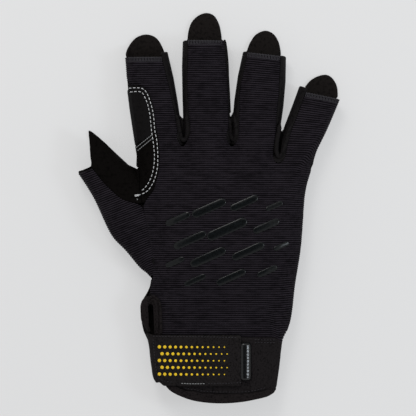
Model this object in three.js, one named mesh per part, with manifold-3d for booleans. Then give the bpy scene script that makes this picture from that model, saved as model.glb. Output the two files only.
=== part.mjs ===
// Climbing glove for the right hand, lying on its palm.
// Millimetres. +Z is up through the back of the hand, +Y runs to the fingertips and +X to the little finger.
import * as THREE from "three";
import { mergeVertices } from "three/addons/utils/BufferGeometryUtils.js";
import Module from "manifold-3d";

const wasm = await Module();
wasm.setup();

// Sizes of the hand and wrist
const PALM_WIDTH = 102;
const PALM_LENGTH = 116;
const PALM_HEIGHT = 24;
const WRIST_WIDTH = 80;
const WRIST_HEIGHT = 21;
const CUFF_LENGTH = 34;
const HEM_LENGTH = 5.4;
const HEM_ROLL = 0.9;

// Sizes of the fingers and the thumb
const FINGER_WIDTH = 28;
const FINGER_HEIGHT = 17;
const SLEEVE_LENGTH = 63;
const TONGUE_LENGTH = 16;
const TONGUE_WIDTH = 20;
const TONGUE_SIDE_POWER = 0.8;
const TONGUE_END_POWER = 0.9;
const THUMB_LENGTH = 80;
const THUMB_WIDTH = 24;
const THUMB_HEIGHT = 19;
const THUMB_LEAN = 33;

// Sizes of the cloth, the seams and the trim
const WALL = 1.6;
const SEAM_GAP = 0.3;
const CROTCH_SLOT = 1.6;
const FOURCHETTE_FOOT = 3.6;
const PATCH_RAISE = 0.7;
const BINDING_RAISE = 0.9;
const BINDING_WIDTH = 4.2;
const VENT_WIDTH = 3.6;
const STRAP_WIDTH = 30;
const STRAP_THICKNESS = 1.8;
const STRAP_REACH = 52.8;
const STRAP_FOOT = 4.5;
const STRAP_OVER_PANEL = 1.2;
const STRAP_CORNER = 6;
const TAB_LENGTH = 6.4;
const TAB_THICKNESS = 2.6;
const TAB_CORNER = 3;

// Form of a cross section: height of its widest place, and how boxy it is
const BELLY = 0.4;
const SIDE_POWER = 2.7;
const TOP_POWER = 2.3;
const UNDERSIDE_DROP = 1.35;

// Mesh steps
const HAND_SIDES = 30;
const HAND_STEPS = 17;
const LIMB_SIDES = 20;
const FINGER_STEPS = 6;
const THUMB_STEPS = 9;
const CORNER_STEPS = 5;
const ABOVE_ALL = 60;
const CUT_MARGIN = 12;
const HEM_CUT_REACH = 0.8;

// Palm sections. along: share of the palm's length above the strap line. left, right: reach from the
// middle line as a share of the palm's width. height: share of its height. slant: turn in degrees.
const PALM_SECTIONS = [
  { along: 0.098, left: 0.461, right: 0.415, height: 0.87, slant: 0 },
  { along: 0.160, left: 0.463, right: 0.425, height: 0.87, slant: 0 },
  { along: 0.242, left: 0.424, right: 0.440, height: 0.90, slant: 0 },
  { along: 0.345, left: 0.394, right: 0.456, height: 0.95, slant: 0 },
  { along: 0.500, left: 0.426, right: 0.476, height: 1.00, slant: 0 },
  { along: 0.655, left: 0.462, right: 0.492, height: 1.00, slant: 0 },
  { along: 0.758, left: 0.488, right: 0.502, height: 0.98, slant: -1 },
  { along: 0.861, left: 0.485, right: 0.526, height: 0.92, slant: -4 },
  { along: 0.940, left: 0.480, right: 0.545, height: 0.80, slant: -7 },
  { along: 0.975, left: 0.470, right: 0.530, height: 0.60, slant: -7 },
];

// Cuff sections. along: share of the cuff's length below the strap line. left, right: shares of the
// wrist's width. height: share of the wrist's height.
const CUFF_SECTIONS = [
  { along: 1.40, left: 0.430, right: 0.385, height: 0.97 },
  { along: 0.75, left: 0.456, right: 0.430, height: 1.00 },
  { along: 0.35, left: 0.480, right: 0.452, height: 1.00 },
  { along: 0.00, left: 0.506, right: 0.468, height: 1.00 },
];

// Fingers. x, y: root as shares of the palm's width and length. lean: degrees to the little finger.
// length: share of the sleeve length. root, middle, hem: widths as shares of the finger width.
// tongue, tongueWidth, tongueShift: shares of the tongue's length and width. hemTilt: how much of the
// sleeve the knit's edge gains across one width.
const FINGERS = [
  { name: "index", x: -0.348, y: 0.966, lean: -8.5, length: 0.915, root: 1.0, middle: 1.01, hem: 0.89,
    tongue: 0.78, tongueWidth: 1.15, tongueShift: -0.03, hemTilt: -0.06 },
  { name: "middle", x: -0.070, y: 0.992, lean: -2.1, length: 1.0, root: 1.02, middle: 1.01, hem: 0.90,
    tongue: 1.0, tongueWidth: 1.0, tongueShift: 0, hemTilt: -0.02 },
  { name: "ring", x: 0.197, y: 0.966, lean: 6.6, length: 0.92, root: 0.98, middle: 1.05, hem: 0.91,
    tongue: 0.85, tongueWidth: 0.96, tongueShift: -0.04, hemTilt: 0 },
  { name: "little", x: 0.412, y: 0.873, lean: 21.3, length: 0.762, root: 0.82, middle: 0.86, hem: 0.885,
    tongue: 0.68, tongueWidth: 0.88, tongueShift: 0.07, hemTilt: 0.09 },
];

// Where along its sleeve a finger has its root, middle and hem widths
const FINGER_WIDTHS = [
  { along: -0.5, root: 1, middle: 0, hem: 0 },
  { along: 0, root: 1, middle: 0, hem: 0 },
  { along: 0.45, root: 0, middle: 1, hem: 0 },
  { along: 0.75, root: 0, middle: 0.75, hem: 0.25 },
  { along: 1, root: 0, middle: 0, hem: 1 },
];

// Height of a finger along its sleeve, from inside the palm to past the hem, as a share of its height
const FINGER_PROFILE = [
  { along: -0.3, height: 1.18 },
  { along: 0.0, height: 1.10 },
  { along: 0.3, height: 1.04 },
  { along: 1.3, height: 0.95 },
];

// Crotches between neighbours. top and bottom of the slot as shares of the palm's width and length.
const CROTCHES = [
  { name: "index_middle", topX: -0.229, topY: 1.16, bottomX: -0.221, bottomY: 1.030 },
  { name: "middle_ring", topX: 0.056, topY: 1.16, bottomX: 0.071, bottomY: 1.030 },
  { name: "ring_little", topX: 0.372, topY: 1.10, bottomX: 0.346, bottomY: 0.935 },
];

// Seams of the gussets. near: the finger on the thumb side, far: its neighbour. along: share of the
// sleeve. near, far: distance of the seam from each finger's middle line as a share of its width.
const GUSSET_SEAMS = {
  index_middle: [
    { along: 1.3, near: 0.33, far: 0.38 },
    { along: 0.95, near: 0.34, far: 0.38 },
    { along: 0.6, near: 0.38, far: 0.40 },
    { along: 0.35, near: 0.40, far: 0.39 },
    { along: 0.15, near: 0.41, far: 0.35 },
  ],
  middle_ring: [
    { along: 1.3, near: 0.46, far: 0.38 },
    { along: 0.95, near: 0.46, far: 0.39 },
    { along: 0.6, near: 0.46, far: 0.43 },
    { along: 0.35, near: 0.45, far: 0.38 },
    { along: 0.15, near: 0.44, far: 0.35 },
  ],
  ring_little: [
    { along: 1.3, near: 0.37, far: 0.30 },
    { along: 0.95, near: 0.37, far: 0.31 },
    { along: 0.6, near: 0.38, far: 0.31 },
    { along: 0.4, near: 0.38, far: 0.31 },
    { along: 0.22, near: 0.42, far: 0.27 },
  ],
};

// Reach of a gusset's U beyond the slot, across and along
const GUSSET_ARM = 4.2;
const GUSSET_BASE = 4.4;

// Reinforcement patch on the index finger. along: share of the sleeve. across: share of the width.
const PATCH_EDGE = [
  { along: 0.67, across: -0.85 },
  { along: 0.67, across: -0.24 },
  { along: 0.63, across: -0.13 },
  { along: 0.46, across: -0.03 },
  { along: 0.23, across: -0.02 },
  { along: 0.07, across: -0.025 },
  { along: -0.07, across: -0.05 },
  { along: -0.22, across: -0.117 },
  { along: -0.39, across: -0.265 },
  { along: -0.49, across: -0.465 },
  { along: -0.54, across: -0.62 },
  { along: -0.54, across: -0.85 },
];

// Slanting seam between the two parts of the patch, and how far the parts reach past it.
// along: share of the sleeve. across: share of the width.
const PATCH_SEAM = [
  { along: -0.02, across: -1.0 },
  { along: 0.25, across: 0.25 },
];
const PATCH_PART_END = 1.2;

// Thumb sections. along: share of the thumb's length back from its hem. outer, inner: reach from the
// middle line as shares of its width. height: share of its height.
const THUMB_SECTIONS = [
  { along: -0.28, outer: 0.46, inner: 0.31, height: 0.82 },
  { along: -0.035, outer: 0.475, inner: 0.495, height: 0.92 },
  { along: 0.11, outer: 0.463, inner: 0.62, height: 0.97 },
  { along: 0.23, outer: 0.468, inner: 0.74, height: 1.00 },
  { along: 0.34, outer: 0.51, inner: 0.80, height: 1.04 },
  { along: 0.45, outer: 0.565, inner: 0.78, height: 1.07 },
  { along: 0.54, outer: 0.618, inner: 0.80, height: 1.08 },
  { along: 0.63, outer: 0.575, inner: 0.85, height: 1.06 },
  { along: 0.75, outer: 0.49, inner: 0.85, height: 1.00 },
  { along: 0.88, outer: 0.43, inner: 0.75, height: 0.90 },
  { along: 1.0, outer: 0.37, inner: 0.50, height: 0.70 },
];
const THUMB_HEM_X = -0.756;
const THUMB_HEM_Y = 0.926;

// Seam that sets the thumb in along the palm's left side. low, high: shares of the palm's length.
const THUMB_SET = { low: 0.21, high: 0.87, steps: 7 };
const THUMB_SET_INSET = 1.4;

// Cut end of the thumb and its knit edge. back: share of the thumb's length back from the hem.
// across: share of its width, to the index finger. The last rows pass outside the thumb.
const THUMB_MOUTH = [
  { back: 0.05, across: -0.70 },
  { back: 0.032, across: -0.475 },
  { back: 0.049, across: -0.21 },
  { back: 0.053, across: -0.10 },
  { back: -0.106, across: 0.19 },
  { back: -0.178, across: 0.327 },
  { back: -0.26, across: 0.40 },
  { back: -0.60, across: 0.40 },
  { back: -0.60, across: -0.90 },
];
const THUMB_KNIT_EDGE = [
  { back: -0.20, across: -0.12 },
  { back: 0.07, across: -0.13 },
  { back: 0.21, across: -0.09 },
  { back: 0.32, across: 0.0 },
  { back: 0.39, across: 0.06 },
  { back: 0.46, across: 0.27 },
  { back: 0.50, across: 0.46 },
  { back: 0.62, across: 1.40 },
  { back: 1.30, across: 1.40 },
  { back: 1.30, across: -1.20 },
  { back: -0.20, across: -1.20 },
];

// Lower edges of the cuff cloth and of its hem. across: share of the wrist's width.
// cuff, hem: depth below the strap line as a share of the cuff's length and of the hem's.
const CUFF_EDGE = [
  { across: -0.60, cuff: 0.52, hem: 0.9 },
  { across: -0.46, cuff: 0.70, hem: 0.45 },
  { across: -0.34, cuff: 0.80, hem: 0.80 },
  { across: -0.25, cuff: 0.925, hem: 1.00 },
  { across: -0.12, cuff: 0.985, hem: 1.05 },
  { across: 0.05, cuff: 1.0, hem: 1.0 },
  { across: 0.22, cuff: 1.0, hem: 0.85 },
  { across: 0.36, cuff: 0.945, hem: 0.75 },
  { across: 0.44, cuff: 0.88, hem: 0.65 },
  { across: 0.55, cuff: 0.80, hem: 0.6 },
];

// Height of the side seam: share of the palm's length, and which height it follows
const SIDE_SEAM = [
  { along: -1.0, height: WRIST_HEIGHT },
  { along: 0.0, height: WRIST_HEIGHT },
  { along: 0.5, height: PALM_HEIGHT },
  { along: 0.85, height: PALM_HEIGHT * 0.93 },
  { along: 1.05, height: FINGER_HEIGHT },
  { along: 3.0, height: FINGER_HEIGHT },
];

// Wrist vent at the thumb side. across: share of the wrist's width, top: share of the palm's length.
const VENT_ACROSS = -0.519;
const VENT_LEAN = -0.045;
const VENT_TOP = 0.175;
const VENT_FLAP = 0.20;

// Rounded lower corner of the strap at the thumb side. across: share of the wrist's width.
// rise: share of the strap's corner height.
const STRAP_CORNER_LINE = [
  { across: -0.488, rise: 1.0 },
  { across: -0.462, rise: 0.45 },
  { across: -0.420, rise: 0 },
];

// Soft dents of the back. x, y: shares of the palm's width and length. long, wide: half sizes as shares
// of the palm's width. turn: direction of the long side in degrees. depth: share of the palm's height.
const DENTS = [
  { x: -0.21, y: 0.93, long: 0.196, wide: 0.069, turn: 92, depth: 0.108 },
  { x: 0.07, y: 0.92, long: 0.196, wide: 0.069, turn: 88, depth: 0.092 },
  { x: 0.33, y: 0.84, long: 0.196, wide: 0.069, turn: 78, depth: 0.100 },
  { x: -0.38, y: 0.13, long: 0.147, wide: 0.049, turn: 80, depth: 0.075 },
  { x: 0.05, y: 0.10, long: 0.333, wide: 0.069, turn: 3, depth: 0.042 },
  { x: -0.36, y: 0.62, long: 0.216, wide: 0.078, turn: 70, depth: 0.058 },
];

const degrees = (value) => (value * Math.PI) / 180;

// Solids from three.js geometries, and back
function solidOf(geometry) {
  geometry.deleteAttribute("normal");
  geometry.deleteAttribute("uv");
  const merged = mergeVertices(geometry, 1e-5);
  const vertProperties = new Float32Array(merged.attributes.position.array);
  const triVerts = new Uint32Array(merged.index.array);
  return new wasm.Manifold(new wasm.Mesh({ numProp: 3, vertProperties, triVerts }));
}

function geometryOf(solid) {
  const mesh = solid.getMesh();
  const geometry = new THREE.BufferGeometry();
  geometry.setAttribute("position", new THREE.BufferAttribute(new Float32Array(mesh.vertProperties), 3));
  geometry.setIndex(new THREE.BufferAttribute(new Uint32Array(mesh.triVerts), 1));
  return geometry;
}

// The one largest body of a cut, without crumbs
function largest(solid) {
  const bodies = solid.decompose();
  bodies.sort((a, b) => b.volume() - a.volume());
  return bodies[0];
}

// Straight line between the rows of a table at one value of its key column
function between(table, key, value, column) {
  const ascending = [...table].sort((a, b) => a[key] - b[key]);
  let upper = ascending.findIndex((row) => row[key] >= value);
  if (upper === -1) upper = ascending.length - 1;
  const lower = Math.max(0, upper - 1);
  const span = ascending[upper][key] - ascending[lower][key];
  const share = span > 0 ? THREE.MathUtils.clamp((value - ascending[lower][key]) / span, 0, 1) : 0;
  return THREE.MathUtils.lerp(ascending[lower][column], ascending[upper][column], share);
}

// Smooth rows in between the rows of a list of sections
function smoothRows(rows, steps) {
  const columns = Object.keys(rows[0]);
  const result = [];
  for (let step = 0; step <= steps; step += 1) {
    const place = (step / steps) * (rows.length - 1);
    const first = Math.min(Math.floor(place), rows.length - 2);
    const t = place - first;
    const row = {};
    for (const column of columns) {
      const p = [-1, 0, 1, 2].map((k) => rows[THREE.MathUtils.clamp(first + k, 0, rows.length - 1)][column]);
      const slopeA = (p[2] - p[0]) / 2;
      const slopeB = (p[3] - p[1]) / 2;
      row[column] = (2 * t ** 3 - 3 * t ** 2 + 1) * p[1] + (t ** 3 - 2 * t ** 2 + t) * slopeA
        + (3 * t ** 2 - 2 * t ** 3) * p[2] + (t ** 3 - t ** 2) * slopeB;
    }
    result.push(row);
  }
  return result;
}

// How deep the dents push the back in at one place
function dentAt(x, y) {
  let depth = 0;
  for (const dent of DENTS) {
    const dx = x - dent.x * PALM_WIDTH;
    const dy = y - dent.y * PALM_LENGTH;
    const turn = degrees(dent.turn);
    const alongDent = (dx * Math.cos(turn) + dy * Math.sin(turn)) / (dent.long * PALM_WIDTH);
    const acrossDent = (dy * Math.cos(turn) - dx * Math.sin(turn)) / (dent.wide * PALM_WIDTH);
    depth += dent.depth * PALM_HEIGHT * Math.exp(-(alongDent ** 2 + acrossDent ** 2));
  }
  return depth;
}

// One closed section: x, y is its middle, turn its direction across, left and right its reach.
// grow moves the whole skin out, or in with a minus.
function sectionPoints(row, sides, grow) {
  const floor = Math.max(0, -grow);
  const middle = row.height * BELLY;
  const power = (value, exponent) => Math.sign(value) * Math.abs(value) ** (2 / exponent);
  const points = [];
  for (let k = 0; k < sides; k += 1) {
    const angle = (2 * Math.PI * k) / sides;
    const c = power(Math.cos(angle), SIDE_POWER);
    const s = power(Math.sin(angle), TOP_POWER);
    const reach = c * ((c > 0 ? row.right : row.left) + grow);
    const x = row.x + reach * Math.cos(row.turn);
    const y = row.y + reach * Math.sin(row.turn);
    const top = middle + s * (row.height + grow - middle) - Math.max(0, s) * dentAt(x, y);
    const bottom = Math.max(floor, middle + s * middle * UNDERSIDE_DROP);
    points.push(new THREE.Vector3(x, y, s >= 0 ? top : bottom));
  }
  return points;
}

// Closed loft through sections, with a fan of triangles at each end
function loft(rows, sides, grow) {
  const rings = rows.map((row) => sectionPoints(row, sides, grow));
  const points = rings.flat();
  const faces = [];
  for (let r = 0; r + 1 < rings.length; r += 1) {
    for (let k = 0; k < sides; k += 1) {
      const a = r * sides + k;
      const b = r * sides + ((k + 1) % sides);
      faces.push(a, b + sides, b, a, a + sides, b + sides);
    }
  }
  for (const [ring, flip] of [[0, false], [rings.length - 1, true]]) {
    const centre = points.length;
    const sum = rings[ring].reduce((total, point) => total.add(point), new THREE.Vector3());
    points.push(sum.divideScalar(sides));
    for (let k = 0; k < sides; k += 1) {
      const a = ring * sides + k;
      const b = ring * sides + ((k + 1) % sides);
      faces.push(...(flip ? [centre, b, a] : [centre, a, b]));
    }
  }
  const geometry = new THREE.BufferGeometry();
  geometry.setAttribute("position", new THREE.Float32BufferAttribute(points.flatMap((p) => p.toArray()), 3));
  geometry.setIndex(faces);
  return solidOf(geometry);
}

// Upright prism over an outline in plan
function prism(outline, low, high) {
  const shape = new THREE.Shape(outline.map((p) => new THREE.Vector2(p.x, p.y)));
  const geometry = new THREE.ExtrudeGeometry(shape, { depth: high - low, bevelEnabled: false });
  geometry.translate(0, 0, low);
  return solidOf(geometry);
}

// An outline moved outwards all round
function grown(outline, distance) {
  const count = outline.length;
  const side = Math.sign(THREE.ShapeUtils.area(outline));
  return outline.map((point, i) => {
    const before = outline[(i + count - 1) % count];
    const after = outline[(i + 1) % count];
    const a = new THREE.Vector2(point.y - before.y, before.x - point.x).normalize();
    const b = new THREE.Vector2(after.y - point.y, point.x - after.x).normalize();
    const sum = a.clone().add(b);
    const stretch = Math.min(2, 2 / Math.max(0.2, sum.lengthSq()));
    return new THREE.Vector2(point.x, point.y).addScaledVector(sum, side * distance * stretch);
  });
}

// Everything above or below the side seam, which follows the widest place of each section
function sideSeamHalf(upper, gap) {
  const far = upper ? ABOVE_ALL : -CUT_MARGIN;
  const shift = upper ? gap / 2 : -gap / 2;
  const seam = SIDE_SEAM.map((row) => new THREE.Vector2(row.along * PALM_LENGTH, row.height * BELLY + shift));
  const ends = [seam[seam.length - 1], seam[0]].map((point) => new THREE.Vector2(point.x, far));
  const profile = [...seam, ...ends];
  const width = 3 * PALM_WIDTH;
  const geometry = new THREE.ExtrudeGeometry(new THREE.Shape(profile), { depth: width, bevelEnabled: false });
  const axes = new THREE.Matrix4().makeBasis(
    new THREE.Vector3(0, 1, 0),
    new THREE.Vector3(0, 0, 1),
    new THREE.Vector3(1, 0, 0),
  );
  geometry.applyMatrix4(axes);
  geometry.translate(-width / 2, 0, 0);
  return solidOf(geometry);
}

// The hand from the cuff to the knuckles
function handRows() {
  const cuff = CUFF_SECTIONS.map((row) => ({
    x: 0,
    y: -row.along * CUFF_LENGTH,
    turn: 0,
    left: row.left * WRIST_WIDTH,
    right: row.right * WRIST_WIDTH,
    height: row.height * WRIST_HEIGHT,
  }));
  const palm = PALM_SECTIONS.map((row) => ({
    x: 0,
    y: row.along * PALM_LENGTH,
    turn: degrees(row.slant),
    left: row.left * PALM_WIDTH,
    right: row.right * PALM_WIDTH,
    height: row.height * PALM_HEIGHT,
  }));
  return smoothRows([...cuff, ...palm], HAND_STEPS);
}

// A finger's middle line, and a place on it
function fingerFrame(finger) {
  const lean = degrees(finger.lean);
  return {
    ...finger,
    root: new THREE.Vector2(finger.x * PALM_WIDTH, finger.y * PALM_LENGTH),
    forward: new THREE.Vector2(Math.sin(lean), Math.cos(lean)),
    sideways: new THREE.Vector2(Math.cos(lean), -Math.sin(lean)),
    sleeve: finger.length * SLEEVE_LENGTH,
    widths: FINGER_WIDTHS.map((row) => ({
      along: row.along,
      width: (row.root * finger.root + row.middle * finger.middle + row.hem * finger.hem) * FINGER_WIDTH,
    })),
  };
}

function onFinger(frame, along, across) {
  const width = between(frame.widths, "along", along, "width");
  return frame.root.clone()
    .addScaledVector(frame.forward, along * frame.sleeve)
    .addScaledVector(frame.sideways, across * width);
}

function fingerRows(frame) {
  const tongueEnd = 1 + (frame.tongue * TONGUE_LENGTH + WALL) / frame.sleeve;
  const start = FINGER_PROFILE[0].along;
  const rows = [];
  for (let step = 0; step <= FINGER_STEPS; step += 1) {
    const along = THREE.MathUtils.lerp(start, tongueEnd, step / FINGER_STEPS);
    const middle = onFinger(frame, along, 0);
    const width = between(frame.widths, "along", along, "width");
    rows.push({
      x: middle.x,
      y: middle.y,
      turn: -degrees(frame.lean),
      left: width / 2,
      right: width / 2,
      height: between(FINGER_PROFILE, "along", along, "height") * FINGER_HEIGHT,
    });
  }
  return rows;
}

// The thumb's middle line runs back from its hem into the palm
const thumbHem = new THREE.Vector2(THUMB_HEM_X * PALM_WIDTH, THUMB_HEM_Y * PALM_LENGTH);
const thumbLean = degrees(THUMB_LEAN);
const thumbForward = new THREE.Vector2(-Math.sin(thumbLean), Math.cos(thumbLean));
const thumbSideways = new THREE.Vector2(Math.cos(thumbLean), Math.sin(thumbLean));

function onThumb(back, across) {
  return thumbHem.clone()
    .addScaledVector(thumbForward, -back * THUMB_LENGTH)
    .addScaledVector(thumbSideways, across * THUMB_WIDTH);
}

function thumbRows() {
  const rows = THUMB_SECTIONS.map((row) => {
    const middle = onThumb(row.along, 0);
    return {
      x: middle.x,
      y: middle.y,
      turn: thumbLean,
      left: row.outer * THUMB_WIDTH,
      right: row.inner * THUMB_WIDTH,
      height: row.height * THUMB_HEIGHT,
    };
  });
  return smoothRows(rows.reverse(), THUMB_STEPS);
}

// Rows with both ends carried on, so that a hollow runs out through its mouth
function carriedOn(rows, first, last) {
  const step = (from, to, distance) => {
    const gap = Math.hypot(to.x - from.x, to.y - from.y);
    return {
      ...from,
      x: from.x - ((to.x - from.x) * distance) / gap,
      y: from.y - ((to.y - from.y) * distance) / gap,
    };
  };
  const result = [...rows];
  if (first > 0) result.unshift(step(rows[0], rows[1], first));
  if (last > 0) result.push(step(rows[rows.length - 1], rows[rows.length - 2], last));
  return result;
}

// Narrow slot between two fingers, round at its lower end
function slotOutline(crotch) {
  const top = new THREE.Vector2(crotch.topX * PALM_WIDTH, crotch.topY * PALM_LENGTH);
  const bottom = new THREE.Vector2(crotch.bottomX * PALM_WIDTH, crotch.bottomY * PALM_LENGTH);
  const forward = top.clone().sub(bottom).normalize();
  const sideways = new THREE.Vector2(forward.y, -forward.x);
  const half = CROTCH_SLOT / 2;
  const outline = [top.clone().addScaledVector(sideways, half)];
  for (let k = 0; k <= CORNER_STEPS; k += 1) {
    const angle = (Math.PI * k) / CORNER_STEPS;
    outline.push(bottom.clone()
      .addScaledVector(sideways, half * Math.cos(angle))
      .addScaledVector(forward, -half * Math.sin(angle)));
  }
  outline.push(top.clone().addScaledVector(sideways, -half));
  return outline.reverse();
}

// Plan of a gusset: down the seam of one finger, round the U and up the seam of the next
function gussetOutline(near, far, crotch) {
  const seams = GUSSET_SEAMS[crotch.name];
  const bottom = new THREE.Vector2(crotch.bottomX * PALM_WIDTH, crotch.bottomY * PALM_LENGTH);
  const down = seams.map((row) => onFinger(near, row.along, row.near));
  const up = seams.map((row) => onFinger(far, row.along, -row.far)).reverse();
  const turn = [];
  for (let k = 0; k <= CORNER_STEPS; k += 1) {
    const angle = Math.PI + (Math.PI * k) / CORNER_STEPS;
    turn.push(new THREE.Vector2(
      bottom.x + GUSSET_ARM * Math.cos(angle),
      bottom.y + GUSSET_BASE * Math.sin(angle),
    ));
  }
  return [...down, ...turn, ...up];
}

// What is cut off beyond a finger's hem: all of it on the back, all but the tongue on the palm
function beyondHem(frame, withTongue, tilt = 0) {
  const wide = HEM_CUT_REACH;
  const far = 1 + (TONGUE_LENGTH + CUT_MARGIN) / frame.sleeve;
  const corners = [[1 - wide * tilt, -wide], [1 + wide * tilt, wide], [far, wide], [far, -wide]];
  const block = corners.map(([along, across]) => onFinger(frame, along, across));
  const shape = new THREE.Shape(block);
  const cutter = new THREE.ExtrudeGeometry(shape, { depth: ABOVE_ALL + CUT_MARGIN, bevelEnabled: false });
  cutter.translate(0, 0, -CUT_MARGIN);
  const solid = solidOf(cutter);
  if (!withTongue) return solid;
  const half = (frame.tongueWidth * TONGUE_WIDTH) / 2;
  const length = frame.tongue * TONGUE_LENGTH;
  const centre = onFinger(frame, 1, 0).addScaledVector(frame.sideways, frame.tongueShift * TONGUE_WIDTH);
  const outline = [];
  for (let k = 0; k <= 2 * CORNER_STEPS; k += 1) {
    const angle = (Math.PI * k) / (2 * CORNER_STEPS);
    const across = half * Math.sign(Math.cos(angle)) * Math.abs(Math.cos(angle)) ** TONGUE_SIDE_POWER;
    outline.push(centre.clone()
      .addScaledVector(frame.sideways, across)
      .addScaledVector(frame.forward, length * Math.sin(angle) ** TONGUE_END_POWER));
  }
  for (const side of [-half, half]) {
    outline.push(centre.clone()
      .addScaledVector(frame.sideways, side)
      .addScaledVector(frame.forward, -CUT_MARGIN));
  }
  return solid.subtract(prism(outline, -2 * CUT_MARGIN, 2 * ABOVE_ALL));
}

// Full-height prism, its outline grown when a neighbour keeps clear of it
function tower(outline, clearance = 0, low = -CUT_MARGIN) {
  return prism(clearance > 0 ? grown(outline, clearance) : outline, low, ABOVE_ALL);
}

// The outer skin and the hollow
const hand = handRows();
const thumb = thumbRows();
const fingers = FINGERS.map(fingerFrame);
const fingerLists = fingers.map(fingerRows);

function skin(grow) {
  const inside = grow < 0;
  const reach = inside ? CUT_MARGIN : 0;
  let solid = loft(carriedOn(hand, reach, 0), HAND_SIDES, grow);
  for (const rows of fingerLists) {
    solid = solid.add(loft(carriedOn(rows, 0, reach), LIMB_SIDES, grow));
  }
  solid = solid.add(loft(carriedOn(thumb, 0, reach), LIMB_SIDES, grow));
  for (const crotch of CROTCHES) {
    solid = solid.subtract(tower(slotOutline(crotch), inside ? -grow : 0));
  }
  return solid;
}

const outerSkin = skin(0);
const hollow = skin(-WALL);
const shell = outerSkin.subtract(hollow);
const upper = sideSeamHalf(true, SEAM_GAP);
const lower = sideSeamHalf(false, SEAM_GAP);

// Outlines of the panels
const gussets = CROTCHES.map((crotch, i) => gussetOutline(fingers[i], fingers[i + 1], crotch));
const patchEdge = PATCH_EDGE.map((row) => onFinger(fingers[0], row.along, row.across));
const cuffTop = [new THREE.Vector2(WRIST_WIDTH, 0), new THREE.Vector2(-WRIST_WIDTH, 0)];
const cuffLower = CUFF_EDGE.map((row) => new THREE.Vector2(
  row.across * WRIST_WIDTH,
  -row.cuff * CUFF_LENGTH,
));
const hemLower = CUFF_EDGE.map((row) => new THREE.Vector2(
  row.across * WRIST_WIDTH,
  -row.cuff * CUFF_LENGTH - row.hem * HEM_LENGTH,
));
const stretched = (line) => [
  new THREE.Vector2(-WRIST_WIDTH, line[0].y),
  ...line,
  new THREE.Vector2(WRIST_WIDTH, line[line.length - 1].y),
];
const cuffOutline = [...stretched(cuffLower), ...cuffTop];
const hemOutline = [...stretched(hemLower), ...stretched(cuffLower).reverse()];
const palmSide = [
  new THREE.Vector2(-2 * PALM_WIDTH, SEAM_GAP),
  new THREE.Vector2(2 * PALM_WIDTH, SEAM_GAP),
  new THREE.Vector2(2 * PALM_WIDTH, 3 * PALM_LENGTH),
  new THREE.Vector2(-2 * PALM_WIDTH, 3 * PALM_LENGTH),
];

// The thumb is set in along the left side of the palm
function thumbSetOutline() {
  const line = [];
  for (let k = 0; k <= THUMB_SET.steps; k += 1) {
    const along = THREE.MathUtils.lerp(THUMB_SET.low, THUMB_SET.high, k / THUMB_SET.steps);
    const left = between(PALM_SECTIONS, "along", along, "left") * PALM_WIDTH;
    line.push(new THREE.Vector2(THUMB_SET_INSET - left, along * PALM_LENGTH));
  }
  const high = line[line.length - 1].y;
  const outside = -2 * PALM_WIDTH;
  return [...line, new THREE.Vector2(outside, high + PALM_WIDTH), new THREE.Vector2(outside, line[0].y)];
}
const thumbArea = thumbSetOutline();
const thumbCutOff = THUMB_MOUTH.map((row) => onThumb(row.back, row.across));
const thumbKnitArea = THUMB_KNIT_EDGE.map((row) => onThumb(row.back, row.across));

// Wrist vent: a slot with a round top, the band of tape round it and the flap beside it
function ventOutline(half, low) {
  const top = VENT_TOP * PALM_LENGTH - VENT_WIDTH / 2;
  const middle = (y) => VENT_ACROSS * WRIST_WIDTH - VENT_LEAN * (top - y);
  const outline = [];
  for (let k = 0; k <= 2 * CORNER_STEPS; k += 1) {
    const angle = (Math.PI * k) / (2 * CORNER_STEPS);
    outline.push(new THREE.Vector2(middle(top) + half * Math.cos(angle), top + half * Math.sin(angle)));
  }
  outline.push(new THREE.Vector2(middle(low) - half, low));
  outline.push(new THREE.Vector2(middle(low) + half, low));
  return outline;
}

const ventSlot = ventOutline(VENT_WIDTH / 2, -CUFF_LENGTH - HEM_LENGTH - CUT_MARGIN);
const ventTape = ventOutline(VENT_WIDTH / 2 + BINDING_WIDTH, STRAP_OVER_PANEL + SEAM_GAP);

// Flat outlines of the strap and its tab
function roundedBand(leftX, rightX, lowY, highY, corner) {
  const outline = [new THREE.Vector2(leftX, highY), new THREE.Vector2(leftX, lowY)];
  const centres = [[rightX - corner, lowY + corner, -90], [rightX - corner, highY - corner, 0]];
  for (const [x, y, start] of centres) {
    for (let k = 0; k <= CORNER_STEPS; k += 1) {
      const angle = degrees(start + (90 * k) / CORNER_STEPS);
      outline.push(new THREE.Vector2(x + corner * Math.cos(angle), y + corner * Math.sin(angle)));
    }
  }
  return outline;
}

const strapTop = STRAP_OVER_PANEL;
const strapLow = strapTop - STRAP_WIDTH;
const strapLeft = -WRIST_WIDTH;
const strapRight = -between(CUFF_SECTIONS, "along", 0, "left") * WRIST_WIDTH + STRAP_REACH;
const strapOutline = [
  new THREE.Vector2(strapLeft, strapTop),
  new THREE.Vector2(strapLeft, strapLow + STRAP_CORNER),
  ...STRAP_CORNER_LINE.map((row) => new THREE.Vector2(
    row.across * WRIST_WIDTH,
    strapLow + row.rise * STRAP_CORNER,
  )),
  new THREE.Vector2(strapRight, strapLow),
  new THREE.Vector2(strapRight, strapTop),
];
const tabOutline = roundedBand(
  strapRight + SEAM_GAP,
  strapRight + SEAM_GAP + TAB_LENGTH,
  strapLow + SEAM_GAP,
  strapTop - SEAM_GAP,
  TAB_CORNER,
);

// A layer that lies over the hand's skin from one height to another
function layer(inner, outer) {
  const longer = carriedOn(hand, CUT_MARGIN, CUT_MARGIN);
  return loft(hand, HAND_SIDES, outer).subtract(loft(longer, HAND_SIDES, inner));
}

function subtractAll(solid, cutters) {
  return cutters.reduce((rest, cutter) => rest.subtract(cutter), solid);
}

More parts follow.
